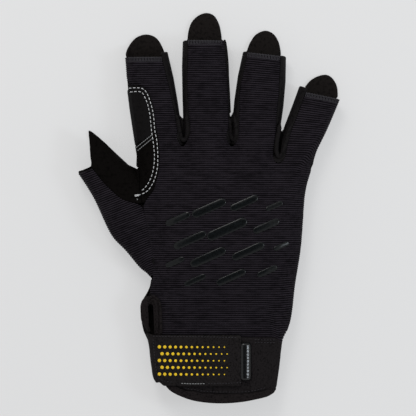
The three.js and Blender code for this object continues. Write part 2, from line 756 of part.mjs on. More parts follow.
const clearOf = (outline, low) => tower(outline, SEAM_GAP, low);
const gussetClear = gussets.map((outline) => clearOf(outline, FOURCHETTE_FOOT - SEAM_GAP));
const patchFoot = FINGER_HEIGHT * BELLY;
const patchClear = clearOf(patchEdge, patchFoot - 2 * SEAM_GAP);
const thumbClear = clearOf(thumbArea);
const thumbMouthCut = tower(thumbCutOff);
const ventClear = clearOf(ventTape, WRIST_HEIGHT * BELLY - SEAM_GAP / 2);
const flapPrism = tower([
  new THREE.Vector2(-PALM_WIDTH, SEAM_GAP),
  new THREE.Vector2(VENT_ACROSS * WRIST_WIDTH, SEAM_GAP),
  new THREE.Vector2(VENT_ACROSS * WRIST_WIDTH, VENT_FLAP * PALM_LENGTH),
  new THREE.Vector2(-PALM_WIDTH, VENT_FLAP * PALM_LENGTH),
]);

function backPanel() {
  const panel = shell.intersect(upper).intersect(tower(palmSide));
  const cutters = [
    ...fingers.map((frame) => beyondHem(frame, false, frame.hemTilt)),
    ...gussetClear,
    patchClear,
    thumbClear,
    ventClear,
    flapPrism,
  ];
  return subtractAll(panel, cutters);
}

function palmPanel() {
  const panel = shell.intersect(lower.add(flapPrism)).intersect(tower(palmSide));
  const cutters = [
    ...fingers.map((frame) => beyondHem(frame, true)),
    ...gussetClear,
    thumbClear,
    ventClear,
  ];
  return subtractAll(panel, cutters);
}

function gusset(i) {
  const foot = tower(gussets[i], 0, FOURCHETTE_FOOT);
  return subtractAll(shell.intersect(foot), fingers.map((frame) => beyondHem(frame, false)));
}

function patchPart(top) {
  const raised = skin(PATCH_RAISE).subtract(hollow).intersect(upper);
  const sign = top ? 1 : -1;
  const shift = (sign * SEAM_GAP) / 2 / fingers[0].sleeve;
  const seam = PATCH_SEAM.map((row) => onFinger(fingers[0], row.along + shift, row.across));
  const end = PATCH_SEAM.map((row) => onFinger(fingers[0], sign * PATCH_PART_END, row.across));
  const half = [...seam, ...end.reverse()];
  return raised.intersect(tower(patchEdge)).intersect(tower(half)).subtract(thumbClear);
}

function thumbPart(knit) {
  const area = shell.intersect(tower(thumbArea)).subtract(thumbMouthCut);
  const knitPrism = tower(thumbKnitArea, 0, THUMB_HEIGHT * BELLY);
  if (knit) return area.intersect(knitPrism);
  return area.subtract(tower(thumbKnitArea, SEAM_GAP, THUMB_HEIGHT * BELLY - SEAM_GAP));
}

function ventBinding() {
  const raised = loft(hand, HAND_SIDES, BINDING_RAISE).subtract(hollow).intersect(upper);
  return raised.intersect(tower(ventTape)).subtract(tower(ventSlot)).subtract(thumbClear);
}

function cuffBand() {
  return shell.intersect(tower(cuffOutline)).subtract(tower(ventSlot, 0, WRIST_HEIGHT * BELLY));
}

function cuffHem() {
  const roll = loft(hand, HAND_SIDES, HEM_ROLL).subtract(hollow);
  const area = tower(hemOutline).subtract(tower(grown(cuffOutline, SEAM_GAP)));
  const underStrap = layer(0, 2 * STRAP_THICKNESS).intersect(tower(grown(strapOutline, SEAM_GAP)));
  return roll.intersect(area).subtract(underStrap).subtract(tower(ventSlot, 0, WRIST_HEIGHT * BELLY));
}

function wristStrap() {
  const band = layer(SEAM_GAP, SEAM_GAP + STRAP_THICKNESS);
  return band.intersect(tower(strapOutline, 0, STRAP_FOOT));
}

function strapTab() {
  return layer(SEAM_GAP, SEAM_GAP + TAB_THICKNESS).intersect(tower(tabOutline, 0, STRAP_FOOT));
}

// Colours and finishes
const KNIT = { color: 0x1b191c, roughness: 0.92, metalness: 0 };
const LEATHER = { color: 0x171514, roughness: 0.78, metalness: 0 };
const CUFF_CLOTH = { color: 0x1b1a1a, roughness: 0.9, metalness: 0 };
const TAPE = { color: 0x1d1b1b, roughness: 0.85, metalness: 0 };
const STRAP_CLOTH = { color: 0x191818, roughness: 0.86, metalness: 0 };
const TAB_PLASTIC = { color: 0x0b0b0d, roughness: 0.18, metalness: 0 };

const pieces = [
  ["back_panel", backPanel(), KNIT],
  ["palm_panel", palmPanel(), LEATHER],
  ...CROTCHES.map((crotch, i) => [`fourchette_${crotch.name}`, gusset(i), LEATHER]),
  ["index_patch", patchPart(true), LEATHER],
  ["web_patch", patchPart(false), LEATHER],
  ["thumb_back", thumbPart(true), KNIT],
  ["thumb_leather", thumbPart(false), LEATHER],
  ["vent_binding", ventBinding(), TAPE],
  ["cuff_band", cuffBand(), CUFF_CLOTH],
  ["cuff_hem", cuffHem(), TAPE],
  ["wrist_strap", wristStrap(), STRAP_CLOTH],
  ["strap_tab", strapTab(), TAB_PLASTIC],
];

const group = new THREE.Group();
for (const [name, solid, finish] of pieces) {
  const mesh = new THREE.Mesh(geometryOf(largest(solid)), new THREE.MeshStandardMaterial(finish));
  mesh.name = name;
  group.add(mesh);
}

// The origin is under the middle of the whole glove
const box = new THREE.Box3().setFromObject(group);
const centre = box.getCenter(new THREE.Vector3());
group.position.set(-centre.x, -centre.y, -box.min.z);

export default group;
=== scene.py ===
# %% [markdown]
# A climbing glove in black knit and leather, lying on its palm.
# The frame that this file loads holds every panel of the glove as a plain solid at its real size.
# Each lesson below takes one of those panels and makes the cloth, leather, thread or plastic that shows.
# All lengths are millimetres until a mesh is made, because a glove is cut and sewn in millimetres.

# %% Load the frame
import math

import bpy
import numpy as np
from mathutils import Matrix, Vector
from mathutils.bvhtree import BVHTree


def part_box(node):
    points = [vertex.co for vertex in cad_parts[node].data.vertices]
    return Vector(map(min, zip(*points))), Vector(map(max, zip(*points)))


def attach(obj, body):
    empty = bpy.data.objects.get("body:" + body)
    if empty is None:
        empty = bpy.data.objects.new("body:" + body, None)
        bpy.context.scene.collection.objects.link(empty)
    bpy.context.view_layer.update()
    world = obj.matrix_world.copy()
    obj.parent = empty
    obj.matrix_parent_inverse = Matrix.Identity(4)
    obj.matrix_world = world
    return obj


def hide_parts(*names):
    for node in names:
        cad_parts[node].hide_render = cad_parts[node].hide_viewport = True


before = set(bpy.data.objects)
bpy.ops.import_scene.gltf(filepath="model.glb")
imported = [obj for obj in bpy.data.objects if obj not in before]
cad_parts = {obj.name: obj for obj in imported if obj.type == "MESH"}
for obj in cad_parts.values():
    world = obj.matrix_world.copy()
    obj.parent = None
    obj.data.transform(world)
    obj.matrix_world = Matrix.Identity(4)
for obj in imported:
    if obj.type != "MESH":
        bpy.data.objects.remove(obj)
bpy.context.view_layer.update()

MM = 0.001
print("panels in the frame:", ", ".join(sorted(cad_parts)))

# %% [markdown]
# The photograph looks straight down on the glove, so the camera hangs far above it with a long lens,
# which keeps the fingertips from growing towards the eye. The floor is plain and pale, and glows a
# little like a light table: a product photograph lights its backdrop so that the shadow almost goes.
# A large soft lamp over the fingers and a weaker one from the right make the low relief of the ribs
# readable without hard shadows. The world gives the even light of a white room, with a dim gap
# straight above, where the camera hangs, so that glossy plastic and ink look black and not grey.

# %% Camera
PHOTO_SIDE = 416
MM_PER_PIXEL = 0.6
ORIGIN_PIXEL = (208.80, 208.15)
CAMERA_HEIGHT = 3000.0
SENSOR_WIDTH = 36.0
SHARP_LEVEL = 9.0
CLIP_END = 20.0


def at_pixel(column, row):
    """The place on the glove, in millimetres, that a pixel of the photograph shows."""
    return (column - ORIGIN_PIXEL[0]) * MM_PER_PIXEL, (ORIGIN_PIXEL[1] - row) * MM_PER_PIXEL


middle = at_pixel(PHOTO_SIDE / 2, PHOTO_SIDE / 2)
lens_data = bpy.data.cameras.new("studio_camera")
lens_data.sensor_width = SENSOR_WIDTH
lens_data.lens = SENSOR_WIDTH * (CAMERA_HEIGHT - SHARP_LEVEL) / (PHOTO_SIDE * MM_PER_PIXEL)
lens_data.clip_end = CLIP_END
camera = bpy.data.objects.new("studio_camera", lens_data)
camera.location = (middle[0] * MM, middle[1] * MM, CAMERA_HEIGHT * MM)
bpy.context.scene.collection.objects.link(camera)
bpy.context.scene.camera = camera
bpy.context.scene.view_settings.view_transform = "Standard"
print("lens", round(lens_data.lens), "mm")

# %% Materials are built from nodes by a few helpers


def new_material(name, roughness, colour, gloss=0.5):
    """A material with its main shader. Gloss is the strength of its clear reflection."""
    material = bpy.data.materials.new(name)
    material.use_nodes = True
    shader = material.node_tree.nodes["Principled BSDF"]
    shader.inputs["Roughness"].default_value = roughness
    shader.inputs["Base Color"].default_value = (*colour, 1.0)
    shader.inputs["Specular IOR Level"].default_value = gloss
    return material, material.node_tree, shader


def node(tree, kind, values=None, **settings):
    """One node with its settings, its fixed inputs and its linked inputs."""
    added = tree.nodes.new(kind)
    for key, value in settings.items():
        setattr(added, key, value)
    for key, value in (values or {}).items():
        if isinstance(value, bpy.types.NodeSocket):
            tree.links.new(value, added.inputs[key])
        else:
            added.inputs[key].default_value = value
    return added


# %% Floor
FLOOR_SIDE = 6.0
FLOOR_TONE = 0.30
FLOOR_GLOW = 0.465
FLOOR_GLOW_COLOUR = (0.985, 0.99, 1.0, 1.0)
FLOOR_ROUGHNESS = 0.85
FLOOR_GLOSS = 0.2
FLOOR_DROP = 0.0002

floor_material, _, floor_shader = new_material("pale_floor", FLOOR_ROUGHNESS, (FLOOR_TONE,) * 3,
    FLOOR_GLOSS)
floor_shader.inputs["Emission Color"].default_value = FLOOR_GLOW_COLOUR
floor_shader.inputs["Emission Strength"].default_value = FLOOR_GLOW
floor_mesh = bpy.data.meshes.new("floor")
half = FLOOR_SIDE / 2
corners = [(-half, -half, 0), (half, -half, 0), (half, half, 0), (-half, half, 0)]
floor_mesh.from_pydata(corners, [], [(0, 1, 2, 3)])
floor_mesh.materials.append(floor_material)
floor = bpy.data.objects.new("floor", floor_mesh)
floor.location.z = -FLOOR_DROP
bpy.context.scene.collection.objects.link(floor)

# %% Lights


def soft_lamp(name, place, aim, width, power, colour):
    """A square area lamp, in metres and watts, that looks at one point."""
    data = bpy.data.lights.new(name, "AREA")
    data.size = width
    data.energy = power
    data.color = colour
    lamp = bpy.data.objects.new(name, data)
    lamp.location = place
    lamp.rotation_mode = "QUATERNION"
    lamp.rotation_quaternion = (Vector(aim) - Vector(place)).to_track_quat("-Z", "Y")
    bpy.context.scene.collection.objects.link(lamp)


soft_lamp("window_over_fingers", (-0.25, 0.75, 0.75), (0, 0, 0), 0.40, 4.0, (1.0, 0.99, 0.97))
soft_lamp("fill_from_right", (0.85, -0.06, 0.72), (0, 0, 0), 0.24, 2.4, (0.84, 0.93, 1.0))
ROOM_LIGHT = 0.68
GAP_LIGHT = 0.10
GAP_RIM, GAP_HEART = 0.88, 0.96
world = bpy.data.worlds.new("white_room")
world.use_nodes = True
sky = world.node_tree
way = node(sky, "ShaderNodeSeparateXYZ", {"Vector": node(sky, "ShaderNodeTexCoord").outputs["Generated"]})
gap_range = {"From Min": GAP_RIM, "From Max": GAP_HEART, "To Min": ROOM_LIGHT, "To Max": GAP_LIGHT}
gap = node(sky, "ShaderNodeMapRange", {"Value": way.outputs["Z"], **gap_range})
background = sky.nodes["Background"]
background.inputs["Color"].default_value = (1, 1, 1, 1)
sky.links.new(gap.outputs["Result"], background.inputs["Strength"])
bpy.context.scene.world = world

# %% [markdown]
# Everything soft starts from a panel of the frame, so these helpers read the panels as numbers.
# A panel is faceted. The finished cloth has to be smooth but keep its cut edge and its thickness.
# Plain smoothing would eat the edge of a wall that is only 1.6 mm thick.
# So each point moves along its own normal only, and it listens only to neighbours that face its way.

# %% Read a panel as points and triangles


def panel_points(name):
    """Points in millimetres and triangles of one panel."""
    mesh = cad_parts[name].data
    mesh.calc_loop_triangles()
    points = np.zeros(len(mesh.vertices) * 3, np.float32)
    mesh.vertices.foreach_get("co", points)
    triangles = np.zeros(len(mesh.loop_triangles) * 3, np.int32)
    mesh.loop_triangles.foreach_get("vertices", triangles)
    return points.reshape(-1, 3).astype(float) / MM, triangles.reshape(-1, 3)


def ray_target(names):
    """One tree of several panels for rays, and the panel that each of its faces belongs to."""
    points, faces, owners = [], [], []
    for name in names:
        own_points, own_faces = panel_points(name)
        faces.extend((own_faces + len(points)).tolist())
        points.extend(own_points.tolist())
        owners.extend([name] * len(own_faces))
    return BVHTree.FromPolygons(points, faces), owners


made = {}


def new_piece(name, points, faces, material, slot, replaced=(), smooth=True):
    """A mesh object in place, from millimetres, that rides with the glove."""
    mesh = bpy.data.meshes.new(name)
    mesh.from_pydata((np.asarray(points, float) * MM).tolist(), [], faces)
    mesh.materials.append(material)
    if smooth:
        mesh.polygons.foreach_set("use_smooth", [True] * len(mesh.polygons))
    mesh.update()
    piece = bpy.data.objects.new(name, mesh)
    bpy.context.scene.collection.objects.link(piece)
    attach(piece, "root")
    if replaced:
        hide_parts(*replaced)
    made[name] = (np.asarray(points, float), faces)
    return piece


# %% Melt the facets of a panel
RIM_ALIKENESS = 0.85
MELT, MELT_BACK = 0.5, -0.52
NORMALS_EVERY = 4


def mesh_normals(points, quads):
    """Normals of the points of a quad mesh, weighted by area."""
    across = points[quads[:, 2]] - points[quads[:, 0]]
    other = points[quads[:, 3]] - points[quads[:, 1]]
    face = np.cross(across, other)
    total = np.zeros_like(points)
    for corner in range(4):
        for axis in range(3):
            total[:, axis] += np.bincount(quads[:, corner], face[:, axis], len(points))
    return total / np.maximum(np.linalg.norm(total, axis=1, keepdims=True), 1e-12)


def without_facets(points, quads, rounds, rim_rounds):
    """Melt the facets: smooth along the normal, then round the outline of the cut edges in plan."""
    edges = np.unique(np.sort(np.concatenate([quads[:, [k, (k + 1) % 4]] for k in range(4)]), axis=1),
        axis=0)
    near, far = np.concatenate([edges, edges[:, ::-1]]).T

    def pull(weight):
        total = np.bincount(near, weight, len(points))
        apart = points[far] - points[near]
        steps = [np.bincount(near, weight * apart[:, axis], len(points)) for axis in range(3)]
        return np.stack(steps, axis=1) / np.maximum(total, 1e-9)[:, None]

    for step in range(rounds):
        if step % NORMALS_EVERY == 0:
            normals = mesh_normals(points, quads)
            alike = np.clip((normals[near] * normals[far]).sum(1) * 2 - 1, 0.001, 1)
        share = MELT_BACK if step % 2 else MELT
        points = points + share * (pull(alike) * normals).sum(1, keepdims=True) * normals
    rim = np.bincount(near, alike, len(points)) / np.bincount(near, minlength=len(points)) < RIM_ALIKENESS
    along_rim = (rim[near] & rim[far]).astype(float)
    for _ in range(rim_rounds):
        points[:, :2] += 0.5 * pull(along_rim)[:, :2]
    for _ in range(2):
        points = points + 0.4 * pull(np.ones(len(near)))
    return points


def panel_skin(names, voxel, rounds, rim_rounds=0):
    """Even quads over one or more panels, with the facets melted."""
    points, faces = [], []
    for name in names:
        own_points, own_faces = panel_points(name)
        faces.extend((own_faces + len(points)).tolist())
        points.extend((own_points * MM).tolist())
    mesh = bpy.data.meshes.new("blank")
    mesh.from_pydata(points, [], faces)
    blank = bpy.data.objects.new("blank", mesh)
    bpy.context.scene.collection.objects.link(blank)
    remesh = blank.modifiers.new("remesh", "REMESH")
    remesh.mode = "VOXEL"
    remesh.voxel_size = voxel * MM
    depsgraph = bpy.context.evaluated_depsgraph_get()
    even = bpy.data.meshes.new_from_object(blank.evaluated_get(depsgraph))
    bpy.data.objects.remove(blank)
    coordinates = np.zeros(len(even.vertices) * 3, np.float32)
    even.vertices.foreach_get("co", coordinates)
    quads = np.zeros(len(even.loops), np.int32)
    even.loops.foreach_get("vertex_index", quads)
    assert len(quads) == 4 * len(even.polygons)
    bpy.data.meshes.remove(even)
    quads = quads.reshape(-1, 4)
    return without_facets(coordinates.reshape(-1, 3).astype(float) / MM, quads, rounds, rim_rounds), quads


# %% [markdown]
# The back of the hand is one piece of ribbed knit. Its ribs run straight across the hand and fingers,
# a rib every 1.3 mm. Bump alone looks painted on when the light grazes it, so the ribs are real folds
# of the mesh: the panel is a grid whose rows lie along the ribs, five rows to a rib.
# Four strips of columns, one for each finger, share their borders on the hand and part at the crotches.
# Rays find where the frame's panel begins and ends on each row, so the cloth meets its seams.
# The lowest rows are hidden by the strap, so they repeat the first row that is in full view, and one
# more rib is tucked under the strap and the cuff, as the sewn edge is.

# %% Rows across the knit
RIB_PITCH = 1.28
ROWS_IN_A_RIB = 5
RIB_HEIGHT = (0.0, 0.75, 1.0, 1.0, 0.75)
RIB_DEPTH = 0.42
KNIT_THICKNESS = 1.1
SKY = 60.0
ROW_PITCH = RIB_PITCH / ROWS_IN_A_RIB
SCAN_STEP = 0.5
ROUND_REACH = 8.0
SEAM_INSET = 0.9
EDGE_PROBE = 0.03
SEAM_REACH = 0.2
COLUMNS = 30
HALVINGS = 7
OUTSIDE = 20.0
ROUND_ANGLES = np.radians(np.arange(8, 88, 8))

owner_tree, face_owners = ray_target(list(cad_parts))


def panel_at(x, y):
    """Which panel shows from above at one place, and how high it lies there."""
    place, _, face, _ = owner_tree.ray_cast((x, y, SKY), (0, 0, -1))
    return (None, 0.0) if place is None else (face_owners[face], place.z)


def run_on_row(panel, row, left, right):
    """The widest stretch of a panel along one row, its ends found to a hundredth of a millimetre."""
    level, slope, pivot = row
    best, start = (0.0, 0.0), None
    xs = np.arange(left, right + SCAN_STEP, SCAN_STEP)
    for x in [*xs, None]:
        shows = x is not None and panel_at(x, level + slope * (x - pivot))[0] == panel
        if shows and start is None:
            start = x
        if not shows and start is not None:
            last = (xs[-1] if x is None else x) - SCAN_STEP
            if last - start > best[1] - best[0]:
                best = (start, last)
            start = None
    if best[1] <= best[0]:
        return None
    ends = []
    for inside, step in ((best[0], -SCAN_STEP), (best[1], SCAN_STEP)):
        outside = inside + step
        for _ in range(HALVINGS):
            between = (inside + outside) / 2
            if panel_at(between, level + slope * (between - pivot))[0] == panel:
                inside = between
            else:
                outside = between
        ends.append(inside + math.copysign(SEAM_REACH, step))
    return ends


def profile(tree, row, left, right, round_left, round_right):
    """The outer surface along one row as a line of points, round the side where the panel has one."""
    level, slope, pivot = row
    along = np.array([1.0, slope, 0.0]) / math.hypot(1.0, slope)

    def on_row(x, z):
        return np.array([x, level + slope * (x - pivot), z])

    def hits(rays):
        found = [tree.ray_cast(Vector(origin), Vector(direction))[0] for origin, direction in rays]
        return [np.array(place) for place in found if place is not None]

    def end_at(x, side):
        inside = on_row(x - side * (SEAM_REACH + EDGE_PROBE), 0)
        return on_row(x, panel_at(inside[0], inside[1])[1])

    def round_side(end, side):
        core = on_row(end[0] - side * ROUND_REACH, end[2])
        outward = [
            side * math.cos(angle) * along + np.array([0, 0, math.sin(angle)])
            for angle in ROUND_ANGLES
        ]
        return hits([(core + OUTSIDE * way, -way) for way in outward])

    first, last = end_at(left, -1), end_at(right, 1)
    start = left + (ROUND_REACH if round_left else SEAM_INSET)
    stop = right - (ROUND_REACH if round_right else SEAM_INSET)
    xs = np.linspace(start, stop, int(abs(stop - start)) + 2)
    middle = hits([(on_row(x, SKY), (0, 0, -1)) for x in xs])
    if stop <= start:
        middle = []
    left_side = round_side(first, -1) if round_left else []
    right_side = round_side(last, 1)[::-1] if round_right else []
    return np.array([first, *left_side, *middle, *right_side, last])


def lengths_along(line):
    """How far each point of a line lies from its start."""
    return np.concatenate([[0], np.cumsum(np.linalg.norm(np.diff(line, axis=0), axis=1))])


def spread_along(line, borders, count):
    """Even points along a line between borders given by their x."""
    lengths = lengths_along(line)
    places = np.interp(borders, line[:, 0], lengths)
    if borders[0] <= line[0, 0] + 1e-6:
        places[0] = 0
    if borders[-1] >= line[-1, 0] - 1e-6:
        places[-1] = lengths[-1]
    strips = []
    for low, high in zip(places[:-1], places[1:]):
        at = np.linspace(low, high, count + 1)
        strips.append(np.stack([np.interp(at, lengths, line[:, axis]) for axis in range(3)], axis=1))
    return strips


# %% Where the strips part
DIVIDERS = (
    {"cuff": (-14.0, -77.0), "crotch": (-15.9, 38.0), "slot": (-16.6, 57.0), "tips": (-20.0, 92.0)},
    {"cuff": (5.0, -77.0), "crotch": (14, 38), "slot": (12.4, 57), "tips": (15.4, 95)},
    {"cuff": (25.0, -77.0), "crotch": (42, 27), "slot": (44.7, 50), "tips": (49.5, 70)},
)
FINGERS = (
    {"name": "index", "root": (-28.8, 34.8), "lean": -8.5, "trim": 1.3},
    {"name": "middle", "root": (-0.4, 37.8), "lean": -2.1, "trim": 0.2},
    {"name": "ring", "root": (26.8, 34.8), "lean": 6.6, "trim": 0.2},
    {"name": "little", "root": (48.7, 24), "lean": 21.3, "trim": 0.9},
)
HEM_PROBE = 7.0
TIP_REACH = 82.0
PATCH_TOP = 72.5


def divider(k, y):
    """The x where two neighbouring strips meet."""
    places = sorted(DIVIDERS[k].values(), key=lambda place: place[1])
    return float(np.interp(y, [place[1] for place in places], [place[0] for place in places]))


def finger_x(finger, y):
    """The middle line of a finger."""
    return finger["root"][0] + (y - finger["root"][1]) * math.tan(math.radians(finger["lean"]))


def hem_of(finger):
    """The knit's cut edge on a finger as a row: its level, its slope and its pivot."""
    found = []
    for offset in (-HEM_PROBE, HEM_PROBE):
        y = finger["root"][1] + TIP_REACH
        while panel_at(finger_x(finger, y) + offset, y)[0] != "back_panel":
            y -= 0.1
        found.append((finger_x(finger, y) + offset, y))
    (x0, y0), (x1, y1) = found
    return (y0 + y1) / 2 - finger["trim"], (y1 - y0) / (x1 - x0), (x0 + x1) / 2


hems = [hem_of(finger) for finger in FINGERS]
print("hems", [[round(value, 2) for value in hem] for hem in hems])

# %% Lay the grid over the panel
TUCK = 1.6
ROWS_UNDER_STRAP = 16
DRAW_IN = 3.2
FAR_LEFT, FAR_RIGHT, HAND_RIGHT = -60.0, 90.0, 80.0
knit_points, knit_quads = panel_skin(["back_panel"], 0.7, 30)
knit_tree = BVHTree.FromPolygons(knit_points.tolist(), knit_quads.tolist())
low_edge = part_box("back_panel")[0].y / MM + 0.05
parting = [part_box("fourchette_" + pair)[0].y / MM for pair in ("index_middle", "middle_ring",
    "ring_little")]


def whole_ribs(length):
    """Rows in a length, rounded down to whole ribs."""
    return int(length / RIB_PITCH) * ROWS_IN_A_RIB


part_rows = [whole_ribs(y - low_edge) for y in parting]
own_from = [part_rows[0], part_rows[0], part_rows[1], part_rows[2]]
strips = [[], [], [], []]
for r in range(max(part_rows) + 1):
    level = low_edge + r * ROW_PITCH
    row = (level, 0.0, 0.0)
    members = [0, 1, 2, 3] if r <= part_rows[2] else [0, 1, 2]
    run = run_on_row("back_panel", row, FAR_LEFT, HAND_RIGHT if len(members) == 4 else divider(2, level))
    line = profile(knit_tree, row, *run, False, len(members) == 4)
    borders = [run[0], *[divider(k, level) for k in members[:-1]], run[1]]
    for strip, points in zip(members, spread_along(line, borders, COLUMNS)):
        strips[strip].append(points)
for s, (finger, hem) in enumerate(zip(FINGERS, hems)):
    base = low_edge + own_from[s] * ROW_PITCH
    count = whole_ribs(hem[0] - base)
    for r in range(1, count + 1):
        share = r / count
        row = (base + (hem[0] - base) * share, hem[1] * share ** 1.5, hem[2])
        near = row[0] + row[1] * (finger_x(finger, row[0]) - row[2])
        left = divider(s - 1, near) if s > 0 else FAR_LEFT
        right = divider(s, near) if s < 3 else FAR_RIGHT
        run = run_on_row("back_panel", row, left, right)
        if run is None:
            break
        line = profile(knit_tree, row, *run, s == 0 and near > PATCH_TOP, s == 3)
        strips[s].append(spread_along(line, run, COLUMNS)[0])
strips = [np.array(strip[: (len(strip) - 1) // ROWS_IN_A_RIB * ROWS_IN_A_RIB + 1]) for strip in strips]
for s, strip in enumerate(strips):
    strip[:ROWS_UNDER_STRAP, :, ::2] = strip[ROWS_UNDER_STRAP, :, ::2]
    if s == 3:
        below = np.arange(ROWS_UNDER_STRAP, 0, -1)[:, None] / ROWS_UNDER_STRAP
        strip[:ROWS_UNDER_STRAP, :, 0] -= DRAW_IN * below**1.3 * np.linspace(0, 1, strip.shape[1]) ** 3
    steps = np.arange(ROWS_IN_A_RIB, 0, -1)[:, None, None] / ROWS_IN_A_RIB
    tucked = strip[:1] - steps * np.array([0, RIB_PITCH, 0]) - steps**2 * np.array([0, 0, TUCK])
    strips[s] = np.concatenate([tucked, strip])
part_rows = [rows + ROWS_IN_A_RIB for rows in part_rows]
print("rows", [len(strip) for strip in strips])

# %% Smooth the grid and raise the ribs
FOLDS = (
    ((165.5, 300), (166.5, 336), 1.1, 0.55),
    ((170.0, 303), (171.0, 334), 1.2, -0.45),
    ((175.0, 300), (177.0, 330), 1.6, 0.30),
    ((196.0, 148), (205.0, 168), 4.0, -0.45),
    ((178.0, 150), (168.0, 172), 4.0, -0.45),
    ((240.0, 150), (252.0, 170), 4.0, -0.40),
    ((282.0, 168), (276.0, 192), 4.0, -0.50),
    ((160.0, 262), (180.0, 256), 3.5, -0.45),
    ((158.0, 276), (186.0, 272), 3.5, 0.40),
    ((280.0, 320), (252.0, 326), 2.6, 0.40),
    ((284.0, 306), (262.0, 311), 2.6, -0.35),
    ((250.0, 331), (196.0, 332), 2.2, 0.35),
)


def blurred(values, reach, axis):
    """A Gaussian along one axis that keeps straight slopes at the ends."""
    size = int(3 * reach) + 1
    weights = np.exp(-0.5 * (np.arange(-size, size + 1) / reach) ** 2)
    weights /= weights.sum()
    pads = [(0, 0)] * values.ndim
    pads[axis] = (size, size)
    padded = np.pad(values, pads, mode="reflect", reflect_type="odd")
    return np.apply_along_axis(np.convolve, axis, padded, weights, "valid")


def grid_normals(grid):
    """Upward normals of a grid of points."""
    along = np.gradient(grid, axis=1)
    forward = np.gradient(grid, axis=0)
    normals = np.cross(along, forward)
    return normals / np.maximum(np.linalg.norm(normals, axis=2, keepdims=True), 1e-9)


def folds(x, y):
    """Height of the soft folds at places on the glove."""
    total = np.zeros_like(x)
    for start, end, half_width, height in FOLDS:
        (x0, y0), (x1, y1) = at_pixel(*start), at_pixel(*end)
        length = math.hypot(x1 - x0, y1 - y0)
        along = ((x - x0) * (x1 - x0) + (y - y0) * (y1 - y0)) / length**2
        across = ((x - x0) * (y1 - y0) - (y - y0) * (x1 - x0)) / length
        total += height * np.exp(-((across / half_width) ** 2) - ((along - 0.5) / 0.42) ** 4)
    return total


def ribbed(grid):
    """The outer skin with its ribs, and the lining below it."""
    base = blurred(blurred(grid, 9.0, 0), 1.2, 1)
    base[..., 2] += folds(base[..., 0], base[..., 1])
    normals = grid_normals(blurred(base, 3.0, 0))
    heights = np.array([RIB_HEIGHT[r % ROWS_IN_A_RIB] for r in range(len(grid))])
    return base + RIB_DEPTH * heights[:, None, None] * normals, base - KNIT_THICKNESS * normals


LINING_ROWS = 5
LINING_COLUMNS = 3


def grid_faces(ids, turn=1):
    """Quads between the points of a grid, facing up or, turned, down."""
    corners = [ids[:-1, :-1], ids[:-1, 1:], ids[1:, 1:], ids[1:, :-1]]
    ordered = [corners[0], *corners[1:][::turn]]
    return np.stack(ordered, -1).reshape(-1, 4).tolist()


def knit_mesh(strips, joined_rows):
    """Points, faces and rib heights of one closed panel: ribs outside, a coarser lining inside, a rim.

    joined_rows says up to which row each strip shares its border with the next one.
    """
    points, faces, ribs, outer_ids, inner_ids = [], [], [], [], []
    for s, grid in enumerate(strips):
        outer, inner = ribbed(grid)
        for skin, ids, row_step, column_step in (
            (outer, outer_ids, 1, 1),
            (inner, inner_ids, LINING_ROWS, LINING_COLUMNS),
        ):
            part = skin[::row_step, ::column_step]
            own = np.arange(part.shape[0] * part.shape[1]).reshape(part.shape[:2]) + len(points)
            points.extend(part.reshape(-1, 3))
            heights = [RIB_HEIGHT[r % ROWS_IN_A_RIB] if row_step == 1 else 0.5 for r in range(part.shape[0])]
            ribs.extend(np.repeat(heights, part.shape[1]))
            if s > 0:
                shared = joined_rows[s - 1] // row_step + 1
                for r in range(shared):
                    kept = ids[s - 1][r, -1]
                    points[kept] = (points[kept] + points[own[r, 0]]) / 2
                own[:shared, 0] = ids[s - 1][:shared, -1]
            ids.append(own)
    for s, (outer, inner) in enumerate(zip(outer_ids, inner_ids)):
        faces.extend(grid_faces(outer))
        faces.extend(grid_faces(inner, -1))
        left_from = joined_rows[s - 1] if s > 0 else 0
        right_from = joined_rows[s] if s < len(joined_rows) else 0
        edges = [
            (outer[left_from:, 0], inner[left_from // LINING_ROWS:, 0], LINING_ROWS, 1),
            (outer[right_from:, -1], inner[right_from // LINING_ROWS:, -1], LINING_ROWS, -1),
            (outer[0], inner[0], LINING_COLUMNS, -1),
            (outer[-1], inner[-1], LINING_COLUMNS, 1),
        ]
        for outside, inside, step, turn in edges:
            for k in range(len(inside) - 1):
                ring = [*outside[k * step:(k + 1) * step + 1], inside[k + 1], inside[k]]
                faces.append([int(v) for v in ring[::turn]])
    return np.array(points), faces, ribs


def mark_ribs(piece, ribs):
    """Keep the height of the ribs on the mesh, so that the yarn's material can paint shade into the grooves.
    """
    piece.data.attributes.new("rib", "FLOAT", "POINT").data.foreach_set("value", ribs)


# %% [markdown]
# A panel made of facets has straight sides where the cut cloth is curved, so an outline gets a drawn
# line back. The line goes smoothly through a few points. The move is radial: seen from a centre, the
# outline is pushed out or in to the line, and the push fades towards the centre.

# %% Smooth lines in plan
LINE_STEP = 0.6


def smooth_line(places, step=LINE_STEP):
    """A Catmull-Rom line through points, then even steps along it."""
    knots = np.asarray(places, float)
    knots = np.concatenate([2 * knots[:1] - knots[1:2], knots, 2 * knots[-1:] - knots[-2:-1]])
    fine = []
    for a, b, c, d in zip(knots[:-3], knots[1:-2], knots[2:-1], knots[3:]):
        for t in np.linspace(0, 1, 12, endpoint=False):
            curve = (2 * a - 5 * b + 4 * c - d) * t**2 + (3 * b - a - 3 * c + d) * t**3
            fine.append(0.5 * (2 * b + (c - a) * t + curve))
    return even_steps(np.array([*fine, knots[-2]]), step)


def even_steps(line, step):
    """The same line with its points at even distances."""
    lengths = lengths_along(line)
    at = np.linspace(0, lengths[-1], max(2, round(lengths[-1] / step) + 1))
    return np.stack([np.interp(at, lengths, line[:, axis]) for axis in range(line.shape[1])], axis=1)


def drawn(pixels, step=LINE_STEP):
    """A smooth line in millimetres through pixels of the photograph."""
    return smooth_line([at_pixel(*pixel) for pixel in pixels], step)


